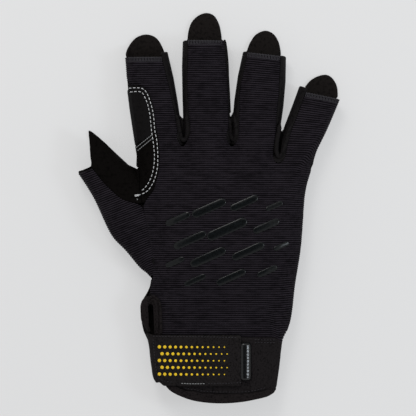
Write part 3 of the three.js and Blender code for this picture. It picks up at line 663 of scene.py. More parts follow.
# %% Push an outline to a drawn line
SIGHTS = 72
MARCH = 0.4
SKIN_HALVINGS = 6
HOLD, FADE = 0.4, 0.15


def skin_reach(tree, centre, way, farthest):
    """How far the outline of a skin lies from a centre in one direction."""
    far = farthest
    while far > 0 and tree.ray_cast(Vector((*(centre + far * way), SKY)), Vector((0, 0, -1)))[0] is None:
        far -= MARCH
    inside, outside = far, far + MARCH
    for _ in range(SKIN_HALVINGS):
        between_them = (inside + outside) / 2
        hit = tree.ray_cast(Vector((*(centre + between_them * way), SKY)), Vector((0, 0, -1)))[0]
        inside, outside = (between_them, outside) if hit is not None else (inside, between_them)
    return inside


def line_reach(line, centre, way):
    """How far a drawn line lies from a centre in one direction."""
    start, run = line[:-1] - centre, np.diff(line, axis=0)
    det = way[0] * run[:, 1] - way[1] * run[:, 0]
    det[np.abs(det) < 1e-12] = 1e-12
    share = (start[:, 1] * way[0] - start[:, 0] * way[1]) / -det
    distance = (start[:, 0] * run[:, 1] - start[:, 1] * run[:, 0]) / det
    crossing = distance[(share >= -0.01) & (share <= 1.01) & (distance > 0)]
    return crossing.max() if len(crossing) else None


def outline_push(tree, centre_pixel, line, farthest):
    """For a fan of directions: the angle, the skin's reach and the drawn line's share of it."""
    centre = np.array(at_pixel(*centre_pixel))
    angles = np.unwrap(np.arctan2(line[:, 1] - centre[1], line[:, 0] - centre[0]))
    rows = []
    for angle in np.linspace(angles[0], angles[-1], SIGHTS):
        way = np.array([math.cos(angle), math.sin(angle)])
        aim, now = line_reach(line, centre, way), skin_reach(tree, centre, way, farthest)
        if aim is not None and now > 1.0:
            rows.append((angle, now, aim / now))
    rows = np.array(sorted(rows))
    return centre, rows


def pushed(points, push, hold=HOLD, fade=FADE):
    """Points of a skin with one of its outlines pushed to its drawn line."""
    centre, rows = push
    away = points[:, :2] - centre
    distance = np.linalg.norm(away, axis=1)
    middle_angle = (rows[0, 0] + rows[-1, 0]) / 2
    turned = np.angle(np.exp(1j * (np.arctan2(away[:, 1], away[:, 0]) - middle_angle))) + middle_angle
    reach = np.interp(turned, rows[:, 0], rows[:, 1])
    ends = np.clip(np.minimum(turned - rows[0, 0], rows[-1, 0] - turned) / fade, 0, 1)
    near_rim = np.clip((distance / reach - hold) / (1 - hold), 0, 1) * (distance < 1.25 * reach)
    share = ends * near_rim**2 * (3 - 2 * near_rim)
    scale = 1 + share * (np.interp(turned, rows[:, 0], rows[:, 2]) - 1)
    result = points.copy()
    result[:, :2] = centre + away * scale[:, None]
    return result


# %% [markdown]
# Ribbed knit is rows of small yarn loops. Seen close, a rib is a line of loops and the groove beside it
# lies in shade. The ribs are in the mesh already, so the material adds what is finer: a loop every
# 0.8 mm along a rib, fuzz, and a slow change of tone where the cloth has been rubbed or stretched.
# The height of the ribs is stored on the mesh as a number for each point, and the material uses it to paint
# shade into the grooves, on top of the real shade of the folds.

# %% Knit yarn material
LOOP_PITCH = 0.8
# The ramp's near-black low end is reached in the grooves, where the rib height paints shade; its upper stops
# are the yarn's own tone.
YARN_AND_GROOVE_SHADE_TONES = ((0.0, (0.0004, 0.0003, 0.0004)), (0.35, (0.0062, 0.0050, 0.0068)),
    (0.9, (0.0215, 0.0178, 0.0232)))


def wave_of(tree, coordinate, pitch, axis, shift=0.0, distortion=0.0):
    """Even bands of one pitch in millimetres across an axis of the object."""
    values = {"Vector": coordinate, "Scale": math.pi / 10 / (pitch * MM), "Phase Offset": shift}
    values.update({"Distortion": distortion, "Detail": 0.0})
    settings = {"wave_type": "BANDS", "bands_direction": axis, "wave_profile": "SIN"}
    return node(tree, "ShaderNodeTexWave", values, **settings).outputs["Fac"]


def noise_of(tree, coordinate, size, detail=3.0):
    """Noise whose lumps have a size in millimetres."""
    values = {"Vector": coordinate, "Scale": 1 / (size * MM), "Detail": detail}
    return node(tree, "ShaderNodeTexNoise", values).outputs["Fac"]


def between(tree, factor, low, high):
    """A value that runs from low to high as the factor runs from 0 to 1."""
    values = {"Value": factor, "To Min": low, "To Max": high}
    return node(tree, "ShaderNodeMapRange", values).outputs["Result"]


def mapped(tree, coordinate, **change):
    """A coordinate that is turned or stretched."""
    return node(tree, "ShaderNodeMapping", {"Vector": coordinate, **change}).outputs["Vector"]


def tinted(tree, factor, *stops):
    """A colour ramp over a factor, from stops of (position, colour)."""
    ramp = node(tree, "ShaderNodeValToRGB", {"Fac": factor})
    while len(ramp.color_ramp.elements) < len(stops):
        ramp.color_ramp.elements.new(0.5)
    for element, (position, colour) in zip(ramp.color_ramp.elements, stops):
        element.position = position
        element.color = (*colour, 1.0)
    return ramp.outputs["Color"]


def product(tree, first, second):
    """Two values multiplied."""
    return node(tree, "ShaderNodeMath", {0: first, 1: second}, operation="MULTIPLY").outputs["Value"]


def finish_surface(tree, shader, colour, roughness, height, depth):
    """Plug colour, roughness and a bump of a depth in millimetres into the shader."""
    tree.links.new(colour, shader.inputs["Base Color"])
    tree.links.new(roughness, shader.inputs["Roughness"])
    bump = node(tree, "ShaderNodeBump", {"Height": height, "Distance": depth * MM, "Strength": 1.0})
    tree.links.new(bump.outputs["Normal"], shader.inputs["Normal"])


def knit_material(name, slope):
    """Ribbed knit whose ribs climb by a slope."""
    material, tree, shader = new_material(name, 0.9, (0.01, 0.009, 0.01), 0.05)
    place = node(tree, "ShaderNodeTexCoord").outputs["Object"]
    rib = node(tree, "ShaderNodeAttribute", attribute_name="rib").outputs["Fac"]
    along = mapped(tree, place, Rotation=(0, 0, -math.atan(slope)))
    loops = wave_of(tree, along, LOOP_PITCH, "X", 0.0, 0.6)
    fuzz = noise_of(tree, along, 0.25)
    rubbed = noise_of(tree, place, 12.0, 2.0)
    drawn_out = mapped(tree, along, Scale=(0.22, 1.0, 1.0))
    streaks = noise_of(tree, drawn_out, 1.7, 2.0)
    wear = product(tree, between(tree, rubbed, 0.62, 1.32), between(tree, streaks, 0.1, 1.9))
    shade = product(tree, between(tree, loops, 0.72, 1.0), wear)
    # The squared rib height paints shade into the grooves; loops, fuzz and wear are the yarn's own tone.
    grain = product(tree, product(tree, shade, between(tree, fuzz, 0.6, 1.4)), product(tree, rib, rib))
    colour = tinted(tree, grain, *YARN_AND_GROOVE_SHADE_TONES)
    height = product(tree, between(tree, loops, 0.3, 1.0), between(tree, fuzz, 0.5, 1.0))
    finish_surface(tree, shader, colour, between(tree, fuzz, 0.78, 0.98), height, 0.12)
    return material


knit = knit_material("ribbed_knit", 0.0)
print("knit:", len(knit.node_tree.nodes), "nodes")

# %% The back panel
LITTLE_SIDE = ((250, 232), (
    (331.9, 116), (326.2, 130), (322.2, 137.3), (318.3, 144.9), (315.9, 149.9), (314.1, 154.8),
        (312.9, 159.4),
    (311.7, 165.2), (309.2, 173.2), (306.9, 179.4), (305.6, 184.4), (304.4, 190.6), (303.2, 200),
        (302.4, 212),
    (301.6, 224.5), (299.8, 247), (297.6, 262), (295.4, 275), (294, 283.5), (292.9, 293), (292.2, 301),
    (290.8, 313), (288.8, 323), (286.2, 330.4), (282, 338), (277.6, 345),
))
side_push = outline_push(knit_tree, LITTLE_SIDE[0], drawn(LITTLE_SIDE[1]), 100.0)
strips = [pushed(strip.reshape(-1, 3), side_push, 0.55, 0.03).reshape(strip.shape) for strip in strips]
points, faces, ribs = knit_mesh(strips, part_rows)
back = new_piece("back_knit", points, faces, knit, "ribbed_knit", ["back_panel"])
mark_ribs(back, ribs)
print("back panel", len(points), "points", len(faces), "faces")

# %% [markdown]
# The thumb is sewn from its own piece of the same knit. Its ribs climb towards the hand, because the
# piece was cut along the thumb and then set in at an angle.

# %% The thumb's knit
THUMB_RIB_SLOPE = 0.384
THUMB_PIVOT = -55.0
THUMB_LOW = -57.5
THUMB_PITCH = ROW_PITCH * 1.07
THUMB_SPAN = (-82.0, -28.0)
THUMB_MOST_ROWS = 400
THUMB_NARROWEST = 2.0
THUMB_ROUND_FROM = 12.0
thumb_points, thumb_quads = panel_skin(["thumb_back"], 0.6, 30)
thumb_tree = BVHTree.FromPolygons(thumb_points.tolist(), thumb_quads.tolist())
thumb_rows = []
for r in range(THUMB_MOST_ROWS):
    row = (THUMB_LOW + r * THUMB_PITCH, THUMB_RIB_SLOPE, THUMB_PIVOT)
    run = run_on_row("thumb_back", row, *THUMB_SPAN)
    if run is None or run[1] - run[0] < THUMB_NARROWEST:
        if thumb_rows:
            break
        continue
    line = profile(thumb_tree, row, *run, run[1] - run[0] > THUMB_ROUND_FROM, False)
    thumb_rows.append(spread_along(line, run, COLUMNS)[0])
thumb_rows = np.array(thumb_rows[: (len(thumb_rows) - 1) // ROWS_IN_A_RIB * ROWS_IN_A_RIB + 1])
THUMB_SIDE = ((146, 215), ((78, 172), (84, 180.4), (92, 193), (97.8, 204), (104.6, 219.4), (109.8, 230.4),
    (115, 238.8), (126.2, 249.6), (133.4, 258.6), (139, 265.4), (148.6, 279)))
thumb_push = outline_push(thumb_tree, THUMB_SIDE[0], drawn(THUMB_SIDE[1]), 62.0)
thumb_rows = pushed(thumb_rows.reshape(-1, 3), thumb_push, 0.5).reshape(thumb_rows.shape)
points, faces, ribs = knit_mesh([thumb_rows], [])
slanting_knit = knit_material("slanting_knit", THUMB_RIB_SLOPE)
thumb = new_piece("thumb_knit", points, faces, slanting_knit, "ribbed_knit", ["thumb_back"])
mark_ribs(thumb, ribs)
print("thumb", len(thumb_rows), "rows")

# %% [markdown]
# The leather, the tape and the cuff have no folds of their own to build row by row, so each of them is
# remeshed into small even squares and its facets are melted. Remeshing blunts a corner and leaves long
# straight sides, so the fingertips, the palm's side, the thumb's peak, the patch, the strap and the
# hem are pushed to drawn lines again. The frame leaves a gap of 0.3 mm at each seam, so each skin
# also swells until the seams close.
# Their looks come first: leather, then weaves, then thread, plastic and ink.

# %% [markdown]
# The palm and the thumb's mouth are thin suede-like leather, dull and nearly black; the mouth's copy is
# darker, with painted shade for the shade inside the thumb's mouth and crotch. Leather shows as grain: a
# fine net of cells, pores, and patches that are rubbed a little smoother and paler.
# Cells come from a Voronoi texture, patches from a slow noise that drives colour and roughness together.

# %% Leather materials


def leather_material(name, dark, pale, grain_size, depth, rough, gloss):
    """Leather with a net of grain, pores and rubbed patches."""
    material, tree, shader = new_material(name, rough[0], dark, gloss)
    place = node(tree, "ShaderNodeTexCoord").outputs["Object"]
    values = {"Vector": place, "Scale": 1 / (grain_size * MM)}
    cells = node(tree, "ShaderNodeTexVoronoi", values, feature="SMOOTH_F1").outputs["Distance"]
    pores = noise_of(tree, place, grain_size * 0.45, 4.0)
    patches = noise_of(tree, place, 9.0, 3.0)
    mottle = noise_of(tree, place, 1.8, 2.0)
    tones = product(tree, between(tree, patches, 0.4, 1.5), between(tree, pores, 0.45, 1.55))
    worn = product(tree, tones, between(tree, mottle, -0.7, 2.8))
    colour = tinted(tree, worn, (0.25, dark), (1.0, pale))
    polish = between(tree, patches, rough[1] / rough[0], 1.0)
    roughness = product(tree, polish, between(tree, cells, rough[0], rough[0] * 0.94))
    height = product(tree, cells, between(tree, pores, 0.6, 1.0))
    finish_surface(tree, shader, colour, roughness, height, depth)
    return material


palm_leather = leather_material("palm_leather", (0.0036, 0.0030, 0.0028),
    (0.0100, 0.0082, 0.0076), 0.55, 0.10, (0.88, 0.70), 0.05)
# The thumb's mouth takes the palm's leather darkened all over: painted shade for the shade inside the
# thumb's mouth and crotch.
mouth_leather_painted_shade = leather_material("mouth_leather_painted_shade", (0.0010, 0.0007, 0.0006),
    (0.0028, 0.0022, 0.0020), 0.55, 0.10, (0.88, 0.70), 0.03)
gusset_leather = leather_material("gusset_leather", (0.0022, 0.0018, 0.0020),
    (0.0070, 0.0060, 0.0064), 0.45, 0.09, (0.80, 0.62), 0.07)
patch_leather = leather_material("patch_leather", (0.0022, 0.0018, 0.0020),
    (0.0046, 0.0039, 0.0042), 0.40, 0.06, (0.78, 0.62), 0.06)

# %% [markdown]
# The vent is bound with woven tape, the cuff is a close jersey, and the strap is a firm hook-and-loop
# cloth. All three are small regular weaves, so two waves at right angles make their threads.
# They differ in the pitch of the threads, in how deep they are, and in how much the cloth shines.

# %% Woven materials


def woven_material(name, dark, pale, pitch, depth, rough, gloss):
    """A plain weave of two thread directions with fuzz and slow wear."""
    material, tree, shader = new_material(name, rough[0], dark, gloss)
    place = node(tree, "ShaderNodeTexCoord").outputs["Object"]
    warp = wave_of(tree, place, pitch[0], "X", 0.0, 0.3)
    weft = wave_of(tree, place, pitch[1], "Y", 0.0, 0.3)
    fuzz = noise_of(tree, place, 0.9, 4.0)
    wear = noise_of(tree, place, 9.0, 3.0)
    threads = product(tree, between(tree, warp, 0.55, 1.0), between(tree, weft, 0.55, 1.0))
    tones = product(tree, between(tree, threads, 0.6, 1.15), between(tree, wear, 0.5, 1.5))
    shade = product(tree, tones, between(tree, fuzz, -1.0, 3.0))
    colour = tinted(tree, shade, (0.15, dark), (1.0, pale))
    roughness = between(tree, product(tree, wear, fuzz), rough[0], rough[1])
    height = product(tree, threads, between(tree, fuzz, 0.6, 1.0))
    finish_surface(tree, shader, colour, roughness, height, depth)
    return material


binding_tape = woven_material("binding_tape", (0.0022, 0.0018, 0.0019), (0.0128, 0.0104, 0.0108),
    (0.7, 0.7), 0.12, (0.95, 0.75), 0.05)
cuff_cloth = woven_material("cuff_cloth", (0.0020, 0.0017, 0.0019), (0.0122, 0.0104, 0.0110),
    (1.1, 0.9), 0.10, (0.95, 0.78), 0.05)
strap_cloth = woven_material("strap_cloth", (0.0022, 0.0018, 0.0019), (0.0128, 0.0110, 0.0113),
    (0.8, 0.8), 0.08, (0.92, 0.70), 0.07)

# %% [markdown]
# Thread is two plies twisted together, which shows as slanting stripes. The pale thread of the patch is
# near white and a little grey where it is rubbed. The dark thread only shows where light catches it.
# The strap's end is dipped in glossy black plastic, and the prints are a thin rubbery ink.

# %% Thread, plastic and ink materials


def thread_material(name, shade, colour, gloss):
    """Twisted thread: slanting stripes, a little fuzz, grey where rubbed."""
    material, tree, shader = new_material(name, 0.7, colour, gloss)
    place = node(tree, "ShaderNodeTexCoord").outputs["Object"]
    slant = mapped(tree, place, Rotation=(0, 0, 0.7))
    twist = wave_of(tree, slant, 0.5, "X")
    rubbed = noise_of(tree, place, 3.0)
    tone = product(tree, between(tree, twist, 0.75, 1.0), between(tree, rubbed, 0.7, 1.3))
    stripes = tinted(tree, tone, (0.2, shade), (0.9, colour))
    finish_surface(tree, shader, stripes, between(tree, rubbed, 0.6, 0.85), twist, 0.05)
    return material


def ink_material(name, dark, pale, rough, gloss, grain):
    """Rubbery print or plastic: smooth, with faint waves, dust and scuffs."""
    material, tree, shader = new_material(name, rough[0], dark, gloss)
    place = node(tree, "ShaderNodeTexCoord").outputs["Object"]
    waves = noise_of(tree, place, grain, 2.0)
    scuffs = noise_of(tree, place, 1.2, 5.0)
    colour = tinted(tree, scuffs, (0.3, dark), (0.8, pale))
    finish_surface(tree, shader, colour, between(tree, scuffs, *rough), waves, 0.10)
    return material


stitch_thread = thread_material("stitch_thread", (0.22, 0.22, 0.22), (0.60, 0.61, 0.62), 0.25)
seam_thread = thread_material("seam_thread", (0.10, 0.102, 0.104), (0.24, 0.245, 0.25), 0.2)
dark_thread = thread_material("dark_thread", (0.008, 0.008, 0.009), (0.040, 0.038, 0.043), 0.08)
tab_plastic = ink_material("tab_plastic", (0.0012, 0.0013, 0.0015), (0.0040, 0.0048, 0.0058),
    (0.12, 0.24), 0.42, 5.0)
gloss_print = ink_material("gloss_print", (0.0012, 0.0016, 0.0018), (0.0040, 0.0058, 0.0068),
    (0.16, 0.30), 0.24, 4.0)
yellow_print = ink_material("yellow_print", (0.78, 0.50, 0.004), (0.90, 0.62, 0.012),
    (0.45, 0.62), 0.4, 2.0)
print("materials:", len(bpy.data.materials))

# %% The soft panels
TIP_LINES = {
    "index": ((144.5, 57), ((125.4, 56.5), (126.5, 52), (128.4, 47.2), (132.2, 41.4), (137.8, 36.7),
        (145.6, 34.5), (153.2, 36.2), (158.4, 40.8), (162.6, 48.6), (165.2, 56))),
    "middle": ((204.7, 41), ((187.7, 41), (188.7, 31.5), (191.9, 22.2), (198.5, 15.6), (206.6, 13),
        (213.9, 15.7), (218.6, 23.8), (220.6, 32.5), (221.6, 41))),
    "ring": ((264, 54.5), ((247.2, 51), (250.4, 42.8), (256.2, 34.6), (265.3, 30.7), (273.2, 33.8),
        (278, 41), (280.2, 49.8), (280.7, 57))),
    "little": ((321, 96), ((304.2, 88.5), (310.7, 80.8), (318.6, 76.3), (327, 75), (333.4, 79.5),
        (337.2, 88), (337.6, 99))),
}
THUMB_PEAK = ((112, 172), ((92.6, 165), (91.2, 158), (90.2, 143), (89.2, 130.2), (97.5, 136.8),
    (105, 143.4), (112, 150.2), (119.3, 157), (130.5, 167.4)))
PATCH_LINE = ((138, 112), ((127.3, 88.6), (129, 86.8), (134, 86.2), (139.4, 86.4), (144.2, 88),
    (148, 92.2), (151.2, 98.4), (153.6, 105.6), (155.4, 113)))
STRAP_SIDE = ((200, 358), ((146.6, 332), (147.2, 335.5), (147.9, 339), (149, 344), (149.9, 350),
    (150.4, 356), (151.1, 362), (152, 368), (152.8, 374), (154.2, 378.6), (157, 383)))
HEM_LINE = ((218, 368), ((163.8, 382), (170.5, 389.8), (182.4, 395.9), (197, 400.2), (218, 402.2),
    (240, 401.1), (259.6, 397.6), (268.4, 395.2), (273.2, 392.3), (275.9, 388.6), (277, 384), (278, 378)))
VOXELS = {"palm_panel": 0.8, "cuff_band": 0.7, "web_patch": 0.35, "cuff_hem": 0.5, "vent_binding": 0.4}
PANEL_LOOKS = {
    "palm_panel": ("palm_sheet", palm_leather, "palm_leather"),
    # The thumb's mouth and crotch sheet take the palm's leather darkened with painted shade.
    "thumb_leather": ("thumb_mouth_sheet", mouth_leather_painted_shade, "palm_leather"),
    "web_patch": ("thumb_crotch_sheet", mouth_leather_painted_shade, "palm_leather"),
    "fourchette_index_middle": ("gusset_index_middle", gusset_leather, "gusset_leather"),
    "fourchette_middle_ring": ("gusset_middle_ring", gusset_leather, "gusset_leather"),
    "fourchette_ring_little": ("gusset_ring_little", gusset_leather, "gusset_leather"),
    "index_patch": ("index_patch_sheet", patch_leather, "patch_leather"),
    "vent_binding": ("vent_tape", binding_tape, "binding_tape"),
    "cuff_band": ("cuff_sheet", cuff_cloth, "cuff_cloth"),
    "cuff_hem": ("hem_tape", binding_tape, "binding_tape"),
    "wrist_strap": ("strap_sheet", strap_cloth, "strap_cloth"),
}


def cornered(pixels):
    """A line of straight pieces in millimetres, which keeps its corners."""
    return even_steps(np.array([at_pixel(*pixel) for pixel in pixels]), LINE_STEP)


skins = {name: panel_skin([name], VOXELS.get(name, 0.5), 24, 30) for name in PANEL_LOOKS}
trees = {
    name: BVHTree.FromPolygons(points.tolist(), quads.tolist()) for name, (points, quads) in skins.items()
}


def push_skin(name, push, hold=HOLD, fade=FADE):
    """Push one outline of a skin to its drawn line and keep the result."""
    points, quads = skins[name]
    skins[name] = (pushed(points, push, hold, fade), quads)


for centre, pixels in TIP_LINES.values():
    push_skin("palm_panel", outline_push(trees["palm_panel"], centre, drawn(pixels), 20.0))
side_centre, side_rows = outline_push(trees["palm_panel"], LITTLE_SIDE[0], drawn(LITTLE_SIDE[1]), 100.0)
side_rows[:, 2] = np.minimum(side_rows[:, 2], 1.0)
push_skin("palm_panel", (side_centre, side_rows), 0.75, 0.03)
for name, (centre, pixels), line_of, farthest, hold, fade in (
    ("thumb_leather", THUMB_PEAK, cornered, 32.0, HOLD, FADE),
    ("index_patch", PATCH_LINE, drawn, 30.0, HOLD, FADE),
    ("wrist_strap", STRAP_SIDE, drawn, 40.0, 0.8, 0.02),
):
    push_skin(name, outline_push(trees[name], centre, line_of(pixels), farthest), hold, fade)
hem_centre, hem_rows = outline_push(trees["cuff_hem"], HEM_LINE[0], drawn(HEM_LINE[1]), 42.0)
end_rows = np.vstack([hem_rows, hem_rows[-1] + (0.12, 0.0, 0.0)])
push_skin("cuff_band", (hem_centre, hem_rows), 0.3, 0.05)
push_skin("cuff_hem", (hem_centre, end_rows), 0.3, 0.012)
SWELL = 0.3
for name, (points, quads) in skins.items():
    title, material, slot = PANEL_LOOKS[name]
    points = points + SWELL * mesh_normals(points, quads)
    points[:, 2] = np.maximum(points[:, 2], 0.0)
    new_piece(title, points, quads.tolist(), material, slot, [name])
    print(title, len(quads), "quads")

# %% [markdown]
# Thread, tape edges and rolled seams are all round things that follow a line, so one helper makes them:
# a ring of points carried along the line, flat or round, thin at its two ends, and closed.
# The line is drawn in the photograph's pixels, and a ray from above drops it on whatever lies there.

# %% Drop lines on the glove
shown_points, shown_faces = [], []
for points, faces in made.values():
    shown_faces.extend((np.add(face, len(shown_points))).tolist() for face in faces)
    shown_points.extend(points.tolist())
shown_tree = BVHTree.FromPolygons(shown_points, shown_faces)


def height_at(x, y, tree=shown_tree, otherwise=3.0):
    """How high the glove lies at one place."""
    place = tree.ray_cast(Vector((x, y, SKY)), Vector((0, 0, -1)))[0]
    return otherwise if place is None else place.z


def dropped(line, lift, tree=shown_tree):
    """A line in plan laid on the glove and lifted a little."""
    return np.array([(x, y, height_at(x, y, tree) + lift) for x, y in line])


def tube(line, width, height, sides=6, blunt=0.35):
    """Points and faces of a closed tube along a line, its ends rounded off."""
    line = np.asarray(line, float)
    ahead = np.gradient(line, axis=0)
    ahead /= np.maximum(np.linalg.norm(ahead, axis=1, keepdims=True), 1e-9)
    side = np.cross(ahead, (0, 0, 1))
    side /= np.maximum(np.linalg.norm(side, axis=1, keepdims=True), 1e-9)
    up = np.cross(side, ahead)
    size = np.ones(len(line))
    size[0] = size[-1] = blunt
    angles = np.arange(sides) / sides * 2 * math.pi
    wide = np.cos(angles)[None, :, None] * side[:, None] * width / 2
    ring = wide + np.sin(angles)[None, :, None] * up[:, None] * height / 2
    points = (line[:, None] + ring * size[:, None, None]).reshape(-1, 3)
    ids = np.arange(len(points)).reshape(len(line), sides)
    turned = np.roll(ids, -1, axis=1)
    faces = np.stack([ids[:-1], turned[:-1], turned[1:], ids[1:]], -1).reshape(-1, 4).tolist()
    return points, [*faces, ids[0][::-1].tolist(), ids[-1].tolist()]


def tubes_piece(name, parts, material, slot):
    """Several closed forms as one piece."""
    points, faces = [], []
    for own_points, own_faces in parts:
        faces.extend([v + len(points) for v in face] for face in own_faces)
        points.extend(own_points.tolist())
    print(name, len(parts), "parts,", len(faces), "faces")
    return new_piece(name, points, faces, material, slot)


def lofted(rows):
    """Points and faces of a closed form whose sections are the rows of a grid."""
    grid = np.array(rows)
    ids = np.arange(grid.shape[0] * grid.shape[1]).reshape(grid.shape[:2])
    turned = np.roll(ids, -1, axis=1)
    sides = np.stack([ids[:-1], ids[1:], turned[1:], turned[:-1]], -1).reshape(-1, 4).tolist()
    return grid.reshape(-1, 3), [*sides, ids[0].tolist(), ids[-1][::-1].tolist()]


# %% Stitches along a line


def stitches(pixels, stitch, gap, thick, lift=0.12, line=None):
    """Thread that dives in and out along a drawn line: one closed form for each stitch on top."""
    line = drawn(pixels, 0.1) if line is None else line
    lengths = lengths_along(line)
    forms = []
    for start in np.arange(gap / 2, lengths[-1] - stitch, stitch + gap):
        at = start + stitch * np.array([0.0, 0.15, 0.5, 0.85, 1.0])
        place = np.stack([np.interp(at, lengths, line[:, axis]) for axis in range(2)], axis=1)
        form = dropped(place, lift)
        form[:, 2] = form[:, 2].max() + np.array([-0.35, 0, 0.06, 0, -0.35])
        forms.append(tube(form, thick, thick, 6, 0.6))
    return forms


# %% [markdown]
# The index finger's side carries a smooth leather patch against rope wear. Two rows of pale thread hold
# its curved edge, a double seam joins its two halves, and a bar of close stitches ends the rows at the
# thumb. These are the only bright lines of the cloth, so each stitch is a real piece of thread.

# %% The patch's stitching
OUTER_ROW = ((128.2, 88.5), (133, 88.2), (138.5, 88.2), (142.5, 89), (145.8, 91.6), (148.4, 96.5),
    (150.6, 102.8), (152.6, 110), (153.9, 118), (154.9, 130.2), (157, 141.5), (158, 156.6),
    (157.2, 169.8), (153.6, 182), (147.2, 191.3), (137.8, 195.6))
INNER_ROW = ((129.4, 92.4), (134.5, 91.9), (139, 91.9), (142.6, 93.2), (145, 97.6), (147.2, 102.8),
    (149, 109.5), (150.4, 117.5), (151.6, 130.2), (153.5, 143), (154.6, 156.6), (153.6, 169),
    (150.2, 180), (144.6, 188.4), (140, 191.5))
patch_stitches = [*stitches(OUTER_ROW, 1.55, 0.95, 0.44), *stitches(INNER_ROW, 1.55, 0.95, 0.44)]
BAR_TACKS = (((134.6, 195.3), (139.8, 194.6)), ((134.8, 196.3), (140, 195.6)), ((135.2, 197.2),
    (139.6, 196.6)))
for row in BAR_TACKS:
    patch_stitches.extend(stitches(row, 2.6, 0.2, 0.5, 0.2))
tubes_piece("patch_stitching", patch_stitches, stitch_thread, "stitch_thread")
CROSS_ROWS = (((136, 148), (153, 134.4)), ((137.4, 151), (154, 137.4)))
cross_seam = [form for row in CROSS_ROWS for form in stitches(row, 1.1, 0.25, 0.42)]
cross_seam.extend(stitches(((137.2, 198.4), (138.2, 201.6)), 0.9, 0.25, 0.5))
tubes_piece("patch_cross_seam", cross_seam, seam_thread, "stitch_thread")

# %% [markdown]
# Between two fingers a strip of leather runs down one finger, round the crotch and up the next.
# Its edges are rolled where they meet the knit, so the crotch looks like a small horseshoe of piping
# with a dark slit inside. The rolls are tubes, and a flap of the same leather closes the slit below.

# %% Crotch rolls
CROTCH_ROLLS = (
    ("index_middle", ((175.6, 112), (177.6, 121), (179.2, 130), (180.8, 137), (183.6, 140.4),
        (186.8, 137.6), (188, 130), (187.6, 121), (186.2, 112))),
    ("middle_ring", ((228.6, 115), (229.4, 122), (230.6, 130), (231.4, 136.5), (233.8, 139.8),
        (236.2, 136.5), (236.8, 130), (235.8, 122), (233.6, 114))),
    ("ring_little", ((280.4, 121), (278.6, 131), (276.8, 142), (276.4, 151), (279.2, 157.4),
        (283.2, 152.5), (285.8, 143.5), (288.4, 134), (291.4, 124))),
)
ROLL_WIDTH, ROLL_HEIGHT, ROLL_SIDES = 2.9, 2.2, 12
TAPER_STEPS = 6.0
THIN_END = 0.25
for pair, pixels in CROTCH_ROLLS:
    line = drawn(pixels, 0.7)
    base = dropped(line, 0.0)
    base[:, 2] = np.maximum(base[:, 2], np.percentile(base[:, 2], 60) - 0.8)
    base[:, 2] = blurred(base[:, 2], 2.0, 0) - 0.2
    steps = np.arange(len(base))
    taper = np.clip(np.minimum(steps, steps[::-1]) / TAPER_STEPS, THIN_END, 1.0)
    points, faces = tube(base, ROLL_WIDTH, ROLL_HEIGHT, ROLL_SIDES, 0.5)
    grid = points.reshape(len(base), ROLL_SIDES, 3)
    points = (base[:, None] + (grid - base[:, None]) * taper[:, None, None]).reshape(-1, 3)
    tubes_piece("crotch_roll_" + pair, [(points, faces)], gusset_leather, "gusset_leather")

# %% [markdown]
# Other seams show as thin rolled edges. Two of them lie beside the cuff and take their height from it,
# and one runs down the little finger's side, where the knit meets the palm.

# %% Seam rolls
SEAM_ROLLS = (
    ("middle_edge_roll", ((225, 41.4), (226.6, 54), (227.6, 69), (228, 98), (228.5, 113),
        (229, 121)), 1.6, 1.4, -0.9, gusset_leather, "gusset_leather"),
    # This roll takes the palm's leather darkened with painted shade, as it lies in the thumb's crotch.
    ("thumb_crotch_roll", ((128.5, 166.2), (132.4, 168.2), (136.4, 170.2), (138.2, 174), (138.4, 182),
        (138, 191)), 1.6, 1.4, -0.5, mouth_leather_painted_shade, "palm_leather"),
    ("thumb_seam_roll", ((141, 204.5), (144, 207.8), (147.6, 224.5), (150.5, 240.6), (153, 254.7),
        (153.8, 264)), 1.1, 1.0, -0.55, gusset_leather, "gusset_leather"),
    ("hem_seam_roll", ((172, 384.6), (180, 388.2), (190, 391), (204, 393.3), (228, 394.2), (250, 393.5),
        (261, 391.4), (269.5, 388.9)), 1.1, 1.0, -0.5, gusset_leather, "gusset_leather"),
    ("cuff_top_roll", ((236, 339.4), (252, 339.4), (264, 339.6),
        (275.5, 339.8)), 0.9, 0.8, -0.1, gusset_leather, "gusset_leather"),
    ("vent_rib_inner", ((151, 302.5), (152.4, 299.6), (154.8, 300.4), (156.4, 304), (157.2, 312),
        (157.6, 333.5)), 1.5, 1.4, 0.05, binding_tape, "binding_tape"),
    ("vent_rib_outer", ((149.6, 298.6), (152.6, 296.2), (156.4, 297.6), (159.4, 302), (160.8, 311),
        (161.4, 333.5)), 1.6, 1.6, 0.05, binding_tape, "binding_tape"),
    ("vent_lip", ((149.4, 301), (146.8, 304), (145.6, 309), (146, 316), (147.2, 324),
        (149.6, 331.5)), 1.9, 1.5, -0.2, binding_tape, "binding_tape"),
)
BESIDE_ROLLS = {"hem_seam_roll": 1.2, "cuff_top_roll": -1.2}
CUFF_LEVEL = 17.0
BESIDE_DROP, ROLL_DROP = 4.5, 1.6
for name, pixels, width, height, lift, material, slot in SEAM_ROLLS:
    line = drawn(pixels, 0.6)
    base = dropped(line, 0.0)
    if name in BESIDE_ROLLS:
        base[:, 2] = [height_at(x, y + BESIDE_ROLLS[name], trees["cuff_band"], CUFF_LEVEL) for x, y in line]
    drop = BESIDE_DROP if name in BESIDE_ROLLS else ROLL_DROP
    base[:, 2] = np.maximum(base[:, 2], np.percentile(base[:, 2], 50) - drop)
    base[:, 2] = blurred(base[:, 2], 3.0, 0) + lift
    tubes_piece(name, [tube(base, width, height, 10, 0.5)], material, slot)
LITTLE_INSET = (-0.55, 0.0, -0.25)
LITTLE_ROLL = 1.5
little_seam = strips[3][ROWS_UNDER_STRAP + ROWS_IN_A_RIB :: 2, -1] + np.array(LITTLE_INSET)
little_tube = tube(little_seam, LITTLE_ROLL, LITTLE_ROLL, 8, 0.5)
tubes_piece("little_side_roll", [little_tube], gusset_leather, "gusset_leather")

# %% [markdown]
# Some slits would show the floor between two panels. Where the real glove has a seam allowance, a
# thin level flap of leather lies below the slit and closes it.

# %% Flaps below the slits


